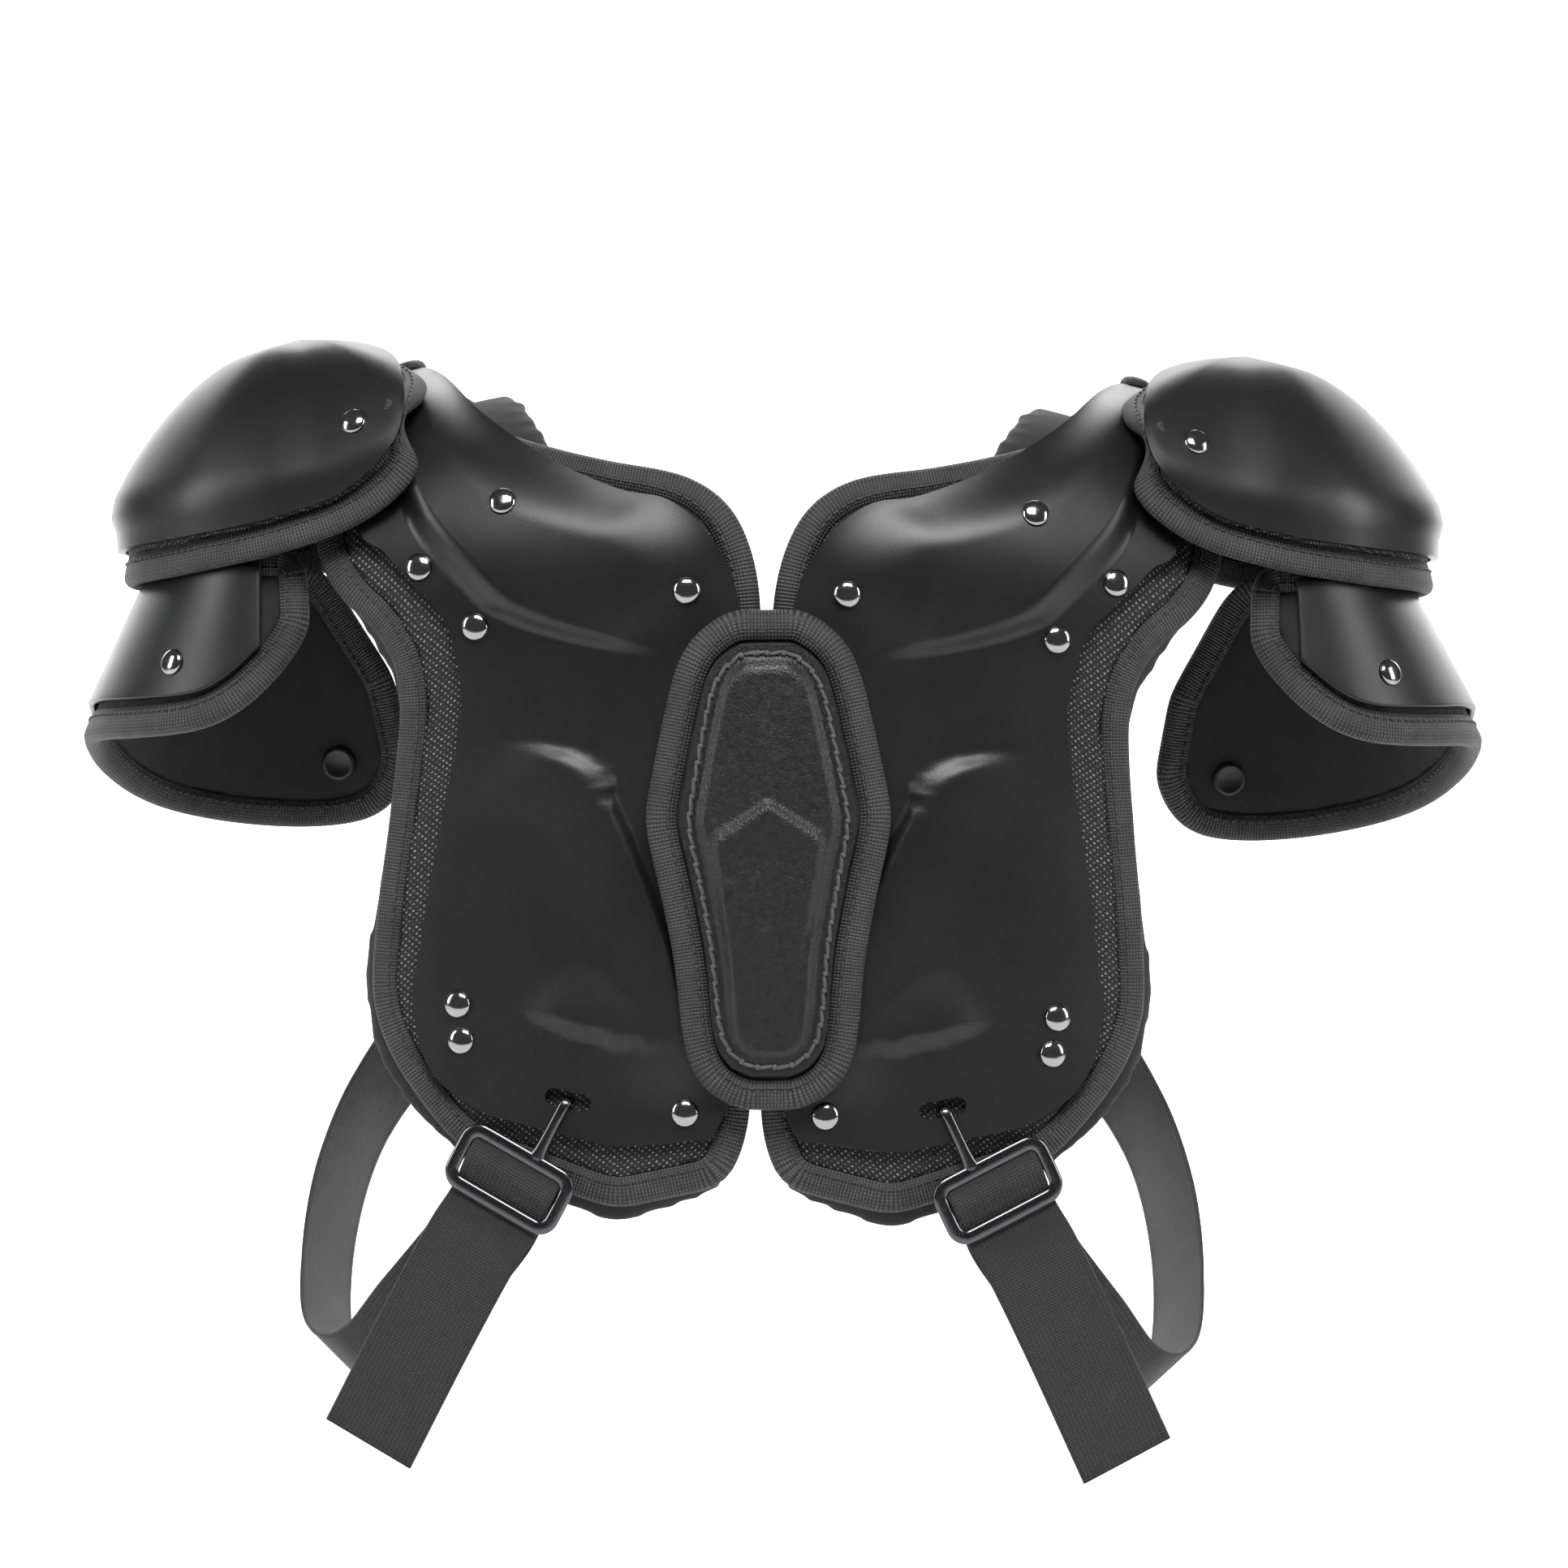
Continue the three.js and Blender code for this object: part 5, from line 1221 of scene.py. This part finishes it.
# Height from the top and half width, as shares
SHIELD_ROWS = [
    (0, 0.3), (0.06, 0.64), (0.2, 0.82), (0.34, 0.95), (0.42, 1), (0.54, 0.88), (0.72, 0.72), (0.9, 0.64),
    (0.97, 0.48), (1, 0.22),
]
ARROW_LEGS = [[(0, 73), (-19.6, 86), (-11.5, 152)], [(0, 73), (19.6, 86), (15, 112)]]


def on_shield(across, height, lift):
    x = across * math.cos(SHIELD_TILT) + height * math.sin(SHIELD_TILT)
    z = SHIELD_TOP - height * math.cos(SHIELD_TILT) + across * math.sin(SHIELD_TILT)
    return Vector((x, -body_half_depth(abs(x), SHOULDER_ARC + CHEST_BLEND) - lift, z)) * MM


def shield_grid(margin, per_row, steps):
    grid = []
    for number in range((len(SHIELD_ROWS) - 1) * per_row + 1):
        share, half = along_rows(SHIELD_ROWS, number / per_row)
        height = margin + share * (SHIELD_HEIGHT - 2 * margin)
        reach = half * (SHIELD_HALF_WIDTH - margin)
        grid.append([(reach * (2 * s / steps - 1), height) for s in range(steps + 1)])
    return grid


def to_line(here, line):
    """The distance from a flat point to a line of points, and the side of it that the point is on."""
    best = None
    for a, b in zip(line, line[1:]):
        a, b = Vector(a), Vector(b)
        span = b - a
        if span.length < 1e-6:
            continue
        share = min(1, max(0, (here - a).dot(span) / span.length_squared))
        offset = here - (a + span * share)
        if best is None or offset.length < best[0]:
            best = (offset.length, span.cross(offset))
    return best


def shield_relief(across, height, rim):
    """The plate's crown inside its flange, and the raised body inside the arrow."""
    here = Vector((across, height))
    edge, _ = to_line(here, rim)
    crown = SHIELD_CROWN * ease(5, 9.5, edge)
    left, left_side = to_line(here, ARROW_LEGS[0])
    right, right_side = to_line(here, ARROW_LEGS[1])
    nearest = min(left, right)
    inside = left_side < 0 and right_side > 0
    fade = 1 - ease(100, 172, height)
    body = (1 - ease(0, 16, nearest) * 0.6 if inside else 1 - ease(0, 1.6, nearest)) * 2.2
    return crown + body * fade


def leather_material(name, color):
    """Pebbled leather: small rounded cells, a few fine creases and a soft uneven shine."""
    shader = Shader(name, color, 0.42)
    where = shader.place()
    cells = {"Vector": where, "Scale": 1300, "Randomness": 0.9}
    pebbles = shader.add("ShaderNodeTexVoronoi", cells).outputs["Distance"]
    grain = shader.noise(where, 420, 4, 0.6)
    scuffs = shader.ramp(shader.noise(where, 190, 5, 0.75), 0.58, 0.75)
    shader.link(shader.mix(scuffs, (*color, 1), (0.02, 0.02, 0.021, 1)), "Base Color")
    shader.link(shader.ramp(grain, 0.3, 0.7, 0.34, 0.52), "Roughness")
    shader.link(shader.bump(pebbles, 0.5, 0.0003, shader.bump(grain, 0.3, 0.0006)), "Normal")
    return shader.material


pebbled_leather = leather_material("pebbled leather", (0.006, 0.006, 0.0063))

grid = shield_grid(SHIELD_MARGIN, 8, 44)
rim = [grid[0][c] for c in range(0, 45, 4)] + [line[-1] for line in grid[::3]]
rim += [grid[-1][c] for c in range(44, -1, -4)] + [line[0] for line in grid[::-3]] + [grid[0][0]]
plate_lift = SHIELD_LIFT + SHIELD_PAD_THICKNESS + 0.3
reliefs = [[shield_relief(x, h, rim) for x, h in line] for line in grid]
upper = [[on_shield(x, h, plate_lift + PLATE_THICKNESS - 0.6 + r) for (x, h), r in zip(line, rs)]
         for line, rs in zip(grid, reliefs)]
lower = [[on_shield(x, h, plate_lift + r * 0.7) for (x, h), r in zip(line, rs)]
         for line, rs in zip(grid, reliefs)]
places = [[(x * MM, h * MM) for x, h in line] for line in grid]
shield = round_edges(sheet_object("breastbone_shield", upper, lower, places), 1.0 * MM)
fix(shield, pebbled_leather, ["sternum_shell"])

grid = shield_grid(TAPE_WIDTH, 6, 24)
lower = [[on_shield(x, h, SHIELD_LIFT) for x, h in line] for line in grid]
upper = [[on_shield(x, h, SHIELD_LIFT + SHIELD_PAD_THICKNESS) for x, h in line] for line in grid]
places = [[(x * MM, h * MM) for x, h in line] for line in grid]
pad = sheet_object("shield_pad", upper, lower, places)
flat = even_loop(rim_of(grid), 2.0)
points = [on_shield(p.x, p.y, 0) for p in flat]
fill_foam(pad, upper, places, 0.8 * MM, [on_shield(p.x, p.y, SHIELD_LIFT + 4) for p in flat])
fix(pad, soft_knit, ["sternum_pad"])
normals = [Vector((0, -1, 0))] * len(points)
faces_at = [(SHIELD_LIFT, SHIELD_LIFT + SHIELD_PAD_THICKNESS)] * len(points)
tape, outwards = tape_object("shield_tape", points, normals, faces_at)
fix(tape, binding_weave, ["sternum_binding"])
line = [(p + (n * (SHIELD_LIFT + SHIELD_PAD_THICKNESS + SEAM_STAND) + o * 0.3) * MM, n, o)
        for p, n, o in zip(points, normals, outwards)]
sew_seam("shield_tape_seam", line, 3.4, 2.5)

# The cord's whip stitches: long slanting ones with a small knot at each hole
waxed_cord = thread_material("waxed cord", (0.05, 0.05, 0.052))
inset = even_loop(rim_of(shield_grid(SHIELD_MARGIN + 3.4, 6, 24)), 1.5)
cord_line = []
for i, p in enumerate(inset):
    lift = plate_lift + PLATE_THICKNESS - 0.35 + shield_relief(p.x, p.y, rim)
    here = on_shield(p.x, p.y, lift)
    after = inset[(i + 1) % len(inset)] - inset[i - 1]
    sideways = (on_shield(p.x + after.y, p.y - after.x, lift) - here).normalized()
    cord_line.append((here, Vector((0, -1, 0)), sideways))
CORD_PITCH = 6.4
# Each row of stitches: its name, where on the line it starts, its length, its radius and its slant
CORD_ROWS = [("cord", 0, 6.2, 0.75, 0.16), ("cord_knots", 2, 2.1, 1.15, 0.9)]
for name, start, length, radius, slant in CORD_ROWS:
    stitches = stitch_object(f"shield_{name}", cord_line[start:] + cord_line[:start + 4],
                             CORD_PITCH * MM, length * MM, radius * MM, slant)
    fix(stitches, waxed_cord, [])

# Rivets: domed heads in glossy black nickel that hold the plates to the foam, and the arm pad's plain
# moulded button, which the pad carries on the lobe behind.
RIVET_RADIUS = 5.2
RIVET_HEIGHT = 2.6


def dark_metal_material(name, color, roughness):
    """Black nickel plate: a deep gloss with fine scratches and a few duller spots."""
    shader = Shader(name, color, roughness)
    shader.surface.inputs["Metallic"].default_value = 1.0
    where = shader.place()
    spots = shader.noise(where, 700, 3, 0.6)
    scratches = shader.noise(shader.place("Object", (1, 6, 1)), 900, 4, 0.7)
    shader.link(shader.ramp(spots, 0.3, 0.75, roughness, roughness + 0.08), "Roughness")
    shader.link(shader.bump(scratches, 0.06, 0.0002), "Normal")
    return shader.material


black_nickel = dark_metal_material("black nickel", (0.3, 0.3, 0.305), 0.09)


def turned_object(name, profile, place, normal):
    """A round piece from a profile of (radius, height) in mm, standing on a place along the normal."""
    sides = 40
    across = normal.orthogonal().normalized()
    other = normal.cross(across)
    points = []
    for radius, height in profile:
        for s in range(sides):
            angle = math.tau * s / sides
            round_about = (across * math.cos(angle) + other * math.sin(angle)) * radius
            points.append(place + (round_about + normal * height) * MM)
    faces = []
    for r in range(len(profile) - 1):
        for s in range(sides):
            t = (s + 1) % sides
            faces.append([r * sides + s, r * sides + t, (r + 1) * sides + t, (r + 1) * sides + s])
    points += [place + normal * profile[0][1] * MM, place + normal * profile[-1][1] * MM]
    low, high = len(points) - 2, len(points) - 1
    faces += [[low, (s + 1) % sides, s] for s in range(sides)]
    start = (len(profile) - 1) * sides
    faces += [[high, start + s, start + (s + 1) % sides] for s in range(sides)]
    return mesh_object(name, points, faces)


def dome_profile(radius, height):
    """A flat foot, a short edge and a domed top."""
    profile = [(radius, -0.2), (radius, 0.35)]
    for step in range(1, 12):
        angle = math.pi / 2 * step / 12
        profile.append((radius * math.cos(angle) ** 0.9, 0.35 + (height - 0.35) * math.sin(angle)))
    return profile


# Each rivet on the chest plate, with its place as shares of the plate's width and fall
RIVETS = [
    ("arch", 0.783, 0.297), ("sternum", 0.242, 0.409), ("strip_upper", 1.05, 0.327),
    ("strip_lower", 0.88, 0.392), ("side_upper", 0.883, 0.804), ("side_lower", 0.871, 0.844),
    ("bottom", 0.21, 0.971),
]
CAP_RIVET_TURN = 4.6
CAP_RIVET_WAY = 0.8
ARM_RIVET_ANGLE = 60
ARM_RIVET_FALL = 0.4
BUTTON_ANGLE = -98
BUTTON_FALL = 0.8
BUTTON_PROFILE = [(7, -0.2), (7, 0.6), (6.6, 1.2), (5.4, 1.5), (4.8, 1.1), (0.5, 1.0)]
BRIDGE_RIVET_OUT = 31.6 * MM
BRIDGE_RIVET_UP = 21.6 * MM
rivet_profile = dome_profile(RIVET_RADIUS, RIVET_HEIGHT)


def seated_rivet(name, surface, near, above):
    """A rivet where the line from above to near meets the piece, tilted halfway to the face that it meets."""
    outward = (above - near).normalized()
    faces = BVHTree.FromObject(surface, bpy.context.evaluated_depsgraph_get())
    place, normal, _, _ = faces.ray_cast(near + outward * 0.03, -outward)
    return turned_object(name, rivet_profile, place, (normal + outward).normalized())


bpy.context.view_layer.update()
for side, word in ((-1, "left"), (1, "right")):
    seats = []
    for name, out_share, fall_share in RIVETS:
        out, fall = out_share * PLATE_WIDTH, fall_share * PLATE_FALL
        line = [on_body(out, fall, PLATE_TOP + up, side) for up in (0, 1)]
        seats.append((name, f"chest_plate_{word}", line))
    way = cap_way(CAP_RIVET_TURN, CAP_MARGIN) * CAP_RIVET_WAY
    middle = cap_point(CAP_RIVET_TURN, way)
    outward = cap_normal(CAP_RIVET_TURN, way)
    seats.append(("cap", f"cap_{word}", [hung(middle, side), hung(middle + outward, side)]))
    around, fall = math.radians(ARM_RIVET_ANGLE) * ARM_ARC_RADIUS, ARM_FALL * ARM_RIVET_FALL
    line = [on_arm(around, fall, ARM_PLATE_TOP + up, side) for up in (0, 1)]
    seats.append(("arm", f"arm_plate_{word}", line))
    for name, carrier, (near, above) in seats:
        rivet = seated_rivet(f"{name}_rivet_{word}", bpy.data.objects[carrier], near, above)
        fix(rivet, black_nickel, [f"rivet_{name}_{word}"])
    around, fall = math.radians(BUTTON_ANGLE) * ARM_ARC_RADIUS, ARM_FALL * BUTTON_FALL
    place = on_arm(around, fall, -1.2, side)
    normal = (on_arm(around, fall, -2.2, side) - place).normalized()
    button = turned_object(f"arm_snap_{word}", BUTTON_PROFILE, place, normal)
    fix(button, plastic, [f"arm_button_{word}"])
for number, (x, z) in enumerate(((-1, 1), (1, 1), (-1, -1), (1, -1))):
    place = Vector((x * BRIDGE_RIVET_OUT, BRIDGE_FACE, bridge_middle + z * BRIDGE_RIVET_UP))
    rivet = turned_object(f"bridge_rivet_{number + 1}", rivet_profile, place, Vector((0, 1, 0)))
    fix(rivet, black_nickel, [])

# T-hooks: flat wire buckles coated in glossy black. The shank reaches up from the frame into the plate's
# slot, where its bar lies behind the plate.
HOOK_WINDOW_WIDTH = 41
HOOK_WINDOW_HEIGHT = 19
HOOK_WIRE = 2.8
HOOK_BAND = 5.4
HOOK_CORNER = 5.4
HOOK_SHANK_THICKNESS = 2.3
HOOK_BAR_WIDTH = 2.8
HOOK_BAR_THICKNESS = 2.4
HOOK_OUT = 92
HOOK_FALL = 338
HOOK_TILT = math.radians(27)
HOOK_BAR_LENGTH = 20
HOOK_BAR_STAND = 1.5
coated_wire = dark_metal_material("coated wire", (0.09, 0.09, 0.093), 0.2)
normal = body_normal(HOOK_OUT, SLOT_FALL)
level = Vector((-normal.y, normal.x, 0)).normalized()
HOOK_ALONG = level * math.cos(HOOK_TILT) + Vector((0, 0, math.sin(HOOK_TILT)))
HOOK_DOWN = level * math.sin(HOOK_TILT) - Vector((0, 0, math.cos(HOOK_TILT)))
HOOK_NORMAL = normal
hook_depth = body_half_depth(SLOT_OUT, SLOT_FALL) + PLATE_TOP + HOOK_WIRE
hook_reach = (HOOK_OUT - SLOT_OUT) * (normal.x / -normal.y)
HOOK_CENTRE = Vector((HOOK_OUT, -hook_depth + hook_reach, SHOULDER_ARC - SHOULDER_DROP - HOOK_FALL))


def on_hook(across, down, out, side):
    point = HOOK_CENTRE + HOOK_ALONG * across + HOOK_DOWN * down + HOOK_NORMAL * out
    return Vector((point.x * side, point.y, point.z)) * MM


def wire_section(centre, sideways, normal, width, thickness):
    """Eight corners of a flat wire with rounded edges, in metres."""
    shape = ((1, 0.45), (0.7, 1), (-0.7, 1), (-1, 0.45), (-1, -0.45), (-0.7, -1), (0.7, -1), (1, -0.45))
    return [centre + sideways * width / 2 * x + normal * thickness / 2 * y for x, y in shape]


slot_place = body_point(SLOT_OUT, SLOT_FALL) + body_normal(SLOT_OUT, SLOT_FALL) * PLATE_TOP
slot_from_hook = slot_place - HOOK_CENTRE
slot_across, slot_down, slot_out = (slot_from_hook.dot(axis) for axis in (HOOK_ALONG, HOOK_DOWN, HOOK_NORMAL))
for side, word in ((-1, "left"), (1, "right")):
    half_width = (HOOK_WINDOW_WIDTH + HOOK_WIRE) / 2
    half_height = (HOOK_WINDOW_HEIGHT + HOOK_WIRE) / 2
    middle_line = []
    for x, y, start in ((1, 1, 0), (-1, 1, 90), (-1, -1, 180), (1, -1, 270)):
        for step in range(9):
            angle = math.radians(start + 90 * step / 8)
            middle_line.append((x * (half_width - HOOK_CORNER) + math.cos(angle) * HOOK_CORNER,
                                y * (half_height - HOOK_CORNER) + math.sin(angle) * HOOK_CORNER))
    face = (on_hook(0, 0, 1, side) - on_hook(0, 0, 0, side)).normalized()
    sections = []
    for i, (x, y) in enumerate(middle_line):
        centre = on_hook(x, y, 0, side)
        before = on_hook(*middle_line[i - 1], 0, side)
        after = on_hook(*middle_line[(i + 1) % len(middle_line)], 0, side)
        sideways = (after - before).normalized().cross(face)
        sections.append(wire_section(centre, sideways, face, HOOK_BAND * MM, HOOK_WIRE * 0.8 * MM))
    frame_ring = swept_object(f"hook_frame_{word}", sections)
    along = (on_hook(1, 0, 0, side) - on_hook(0, 0, 0, side)).normalized()
    bar_out = slot_out - PLATE_THICKNESS - HOOK_BAR_STAND - HOOK_WIRE / 2
    # The shank's way down the hook's face and out from it, and its width
    shank_path = [
        (-half_height + 0.6, 0, 9), (-half_height - 2, 0, 5.6), (-half_height - 6, 0.1, 4.2),
        (slot_down + 6, 0.2, 4), (slot_down + 2.4, 0, 4), (slot_down + 0.6, -0.6, 4), (slot_down, -2.2, 3.8),
        (slot_down, bar_out, 3.8),
    ]
    sections = []
    for i, (down, out, width) in enumerate(shank_path):
        centre = on_hook(slot_across, down, out, side)
        before = on_hook(slot_across, *shank_path[max(0, i - 1)][:2], side)
        after = on_hook(slot_across, *shank_path[min(len(shank_path) - 1, i + 1)][:2], side)
        across_path = along.cross((after - before).normalized())
        sections.append(wire_section(centre, along, across_path, width * MM, HOOK_SHANK_THICKNESS * MM))
    shank = swept_object(f"hook_shank_{word}", sections, closed=False)
    bar_ends = [on_hook(slot_across + x * HOOK_BAR_LENGTH / 2, slot_down, bar_out, side) for x in (-1, 1)]
    down_way = (on_hook(0, 1, 0, side) - on_hook(0, 0, 0, side)).normalized()
    sections = [
        wire_section(end, down_way, face, HOOK_BAR_WIDTH * MM, HOOK_BAR_THICKNESS * MM) for end in bar_ends
    ]
    bar = swept_object(f"hook_bar_{word}", sections, closed=False)
    for piece, nodes in ((frame_ring, [f"t_hook_{word}"]), (shank, []), (bar, [])):
        rounder = piece.modifiers.new("rounder", "SUBSURF")
        rounder.levels = rounder.render_levels = 1
        fix(piece, coated_wire, nodes)

# Straps: elastic webbing 38 mm wide. Each leaves its free end hanging in front, is threaded through the hook
# and loops past the ribs up to the back plate.
WEBBING_WIDTH = 38
WEBBING_THICKNESS = 1.6
LOOP_OUT = 168
LOOP_DEPTH = 104
LOOP_FALL = 346
# From the free end's tip: millimetres down the hook's face and out from it. The webbing goes behind the
# lower bar, fills the window and turns back down behind the upper bar.
BUCKLE_FOLD = [
    (113.9, 4.5), (62, 6.5), (26, 3.6), (15, -1.9), (9, -2.1), (4.5, -0.6), (0, 1.1), (-4, 1.1), (-7.6, -0.5),
    (-10, -2.4), (-8, -3.9), (-2, -4.1), (8, -4.2), (20, -4.3),
]
# Shares of the loop's reach out, depth and fall, and the way that the webbing's width lies
LOOP_ROUTE = [
    (0.74, -1.03, 0.97, (0.8, 0.3, 0.5)), (0.85, -0.82, 1.04, (0.75, 0.1, 0.6)),
    (0.95, -0.5, 1.04, (0.6, -0.35, 0.65)), (1, -0.12, 0.98, (0.45, -0.6, 0.6)),
    (1, 0.3, 0.88, (0.4, -0.6, 0.65)), (0.94, 0.72, 0.78, (0.3, -0.5, 0.8)),
    (0.82, 1.06, 0.7, (0.2, -0.2, 0.95)), (0.66, 1.14, 0.66, (0.1, 0, 1)),
]


def curve_through(points, per_span):
    """A centripetal curve through points: (point, station) pairs, with the station counted in points."""
    found = []
    for i in range(len(points) - 1):
        b, c = points[i], points[i + 1]
        a = points[i - 1] if i else b * 2 - c
        d = points[i + 2] if i + 2 < len(points) else c * 2 - b
        knots = [0.0]
        for p, q in ((a, b), (b, c), (c, d)):
            knots.append(knots[-1] + max(1e-5, (q - p).length) ** 0.5)
        t0, t1, t2, t3 = knots
        for step in range(per_span + (i == len(points) - 2)):
            t = t1 + (t2 - t1) * step / per_span
            ab = a * ((t1 - t) / (t1 - t0)) + b * ((t - t0) / (t1 - t0))
            bc = b * ((t2 - t) / (t2 - t1)) + c * ((t - t1) / (t2 - t1))
            cd = c * ((t3 - t) / (t3 - t2)) + d * ((t - t2) / (t3 - t2))
            abc = ab * ((t2 - t) / (t2 - t0)) + bc * ((t - t0) / (t2 - t0))
            bcd = bc * ((t3 - t) / (t3 - t1)) + cd * ((t - t1) / (t3 - t1))
            found.append((abc * ((t2 - t) / (t2 - t1)) + bcd * ((t - t1) / (t2 - t1)), i + step / per_span))
    return found


webbing_top = [(-0.97, 0.8), (-0.9, 1), (-0.86, 0.75), (-0.8, 0.85), (0, 0.9)]
webbing_top += [(-x, y) for x, y in reversed(webbing_top[:-1])]
webbing_profile = [(-1, 0)] + webbing_top + [(1, 0)] + [(x, -y) for x, y in reversed(webbing_top)]
for side, word in ((-1, "left"), (1, "right")):
    stations = []
    widths = []
    for down, out in BUCKLE_FOLD:
        stations.append(on_hook(0, down, out, side))
        widths.append((on_hook(1, 0, 0, side) - on_hook(0, 0, 0, side)).normalized())
    for out, depth, fall, (x, y, z) in LOOP_ROUTE:
        stations.append(Vector((side * out * LOOP_OUT, depth * LOOP_DEPTH, -fall * LOOP_FALL)) * MM)
        widths.append(Vector((x * side, y, z)).normalized())
    path = curve_through(stations, 9)
    sections = []
    length = 0.0
    for i, (point, station) in enumerate(path):
        before, after = path[max(0, i - 1)][0], path[min(len(path) - 1, i + 1)][0]
        along = (after - before).normalized()
        first = min(len(widths) - 2, int(station))
        width = widths[first].lerp(widths[first + 1], station - first)
        width = (width - along * width.dot(along)).normalized()
        up = along.cross(width)
        half_width, half_up = width * WEBBING_WIDTH / 2, up * WEBBING_THICKNESS / 2
        sections.append([point + (half_width * x + half_up * y) * MM for x, y in webbing_profile])
        length += (after - point).length
    strap = swept_object(f"webbing_{word}", sections, closed=False)
    fix(strap, elastic_weave, [f"strap_{word}"])

# Shoulder hinges: short rolls of tape over the top of each arch, where the front and back plates join.
HINGE_OUT = 137
HINGE_LIFT = 27.4
HINGE_HALF_LENGTH = 14
HINGE_HALF_WIDTH = 5.4
HINGE_HALF_HEIGHT = 2
HINGE_STEPS = 10
HINGE_SIDES = 16
for side, word in ((-1, "left"), (1, "right")):
    sections = []
    for step in range(-HINGE_STEPS, HINGE_STEPS + 1):
        fall = HINGE_HALF_LENGTH * step / HINGE_STEPS
        centre = on_body(HINGE_OUT, fall, HINGE_LIFT, side)
        up = (on_body(HINGE_OUT, fall, HINGE_LIFT + 1, side) - centre).normalized()
        across = (on_body(HINGE_OUT + 1, fall, HINGE_LIFT, side) - centre).normalized()
        shrink = 1 - 0.25 * ease(0.8, 1, abs(step) / HINGE_STEPS)
        section = []
        for corner in range(HINGE_SIDES):
            angle = math.tau * corner / HINGE_SIDES
            offset = across * math.cos(angle) * HINGE_HALF_WIDTH + up * math.sin(angle) * HINGE_HALF_HEIGHT
            section.append(centre + offset * shrink * MM)
        sections.append(section)
    hinge = swept_object(f"shoulder_roll_{word}", sections, closed=False)
    fix(hinge, binding_weave, [f"shoulder_hinge_{word}"])

# The place: a pale floor that runs up into a plain pale wall, with soft light from above, behind and both
# sides, and two lights on the wall.
def plain_material(name, color, roughness):
    shader = Shader(name, color, roughness)
    mottle = shader.noise(shader.place(), 3, 2, 0.5)
    shader.link(shader.ramp(mottle, 0.3, 0.7, roughness - 0.05, roughness + 0.05), "Roughness")
    return shader.material


FLOOR_HEIGHT = -0.5
WALL_PLACE = 3.5
WALL_HEIGHT = 3.5
FLOOR_FRONT = -0.9
FLOOR_HALF_WIDTH = 4.5
SWEEP_RADIUS = 0.8
floor_line = [(FLOOR_FRONT, FLOOR_HEIGHT)]
for step in range(16):
    angle = math.pi / 2 * step / 15
    across = WALL_PLACE - SWEEP_RADIUS * (1 - math.sin(angle))
    floor_line.append((across, FLOOR_HEIGHT + SWEEP_RADIUS * (1 - math.cos(angle))))
floor_line.append((WALL_PLACE, WALL_HEIGHT))
floor_points = [Vector((x, y, z)) for y, z in floor_line for x in (-FLOOR_HALF_WIDTH, FLOOR_HALF_WIDTH)]
floor_faces = [[2 * i, 2 * i + 1, 2 * i + 3, 2 * i + 2] for i in range(len(floor_line) - 1)]
floor = mesh_object("floor_and_wall", floor_points, floor_faces)
floor.data.materials.append(plain_material("pale studio paper", (0.9, 0.9, 0.9), 0.8))

world = bpy.data.worlds.new("soft surround")
world.use_nodes = True
backdrop = world.node_tree.nodes["Background"]
backdrop.inputs["Color"].default_value = (1, 1, 1, 1)
seen = world.node_tree.nodes.new("ShaderNodeLightPath").outputs["Is Camera Ray"]
level = world.node_tree.nodes.new("ShaderNodeMapRange")
level.inputs["To Min"].default_value = 0.1
level.inputs["To Max"].default_value = 1.0
world.node_tree.links.new(seen, level.inputs["Value"])
world.node_tree.links.new(level.outputs["Result"], backdrop.inputs["Strength"])
bpy.context.scene.world = world
bpy.context.scene.view_settings.view_transform = "Standard"


def soft_light(name, place, aim, width, height, power):
    data = bpy.data.lights.new(name, "AREA")
    data.shape = "RECTANGLE"
    data.size = width
    data.size_y = height
    data.energy = power
    light = bpy.data.objects.new(name, data)
    light.location = place
    light.rotation_euler = (Vector(aim) - Vector(place)).to_track_quat("-Z", "Y").to_euler()
    bpy.context.scene.collection.objects.link(light)


soft_light("above", (0, -1.25, 1.1), (0, -0.05, -0.1), 1.0, 0.55, 46)
soft_light("left side", (-1.6, -0.6, 0.35), (-0.1, 0, -0.1), 0.35, 1.1, 16)
soft_light("right side", (1.6, -0.6, 0.35), (0.1, 0, -0.1), 0.35, 1.1, 16)
soft_light("behind", (0, 1.4, 1.4), (0, 0.05, -0.15), 1.2, 0.6, 18)
soft_light("wall left", (-2.0, 1.9, 1.4), (-1.0, 3.5, 0.1), 1.6, 1.6, 130)
soft_light("wall right", (2.0, 1.9, 1.4), (1.0, 3.5, 0.1), 1.6, 1.6, 130)
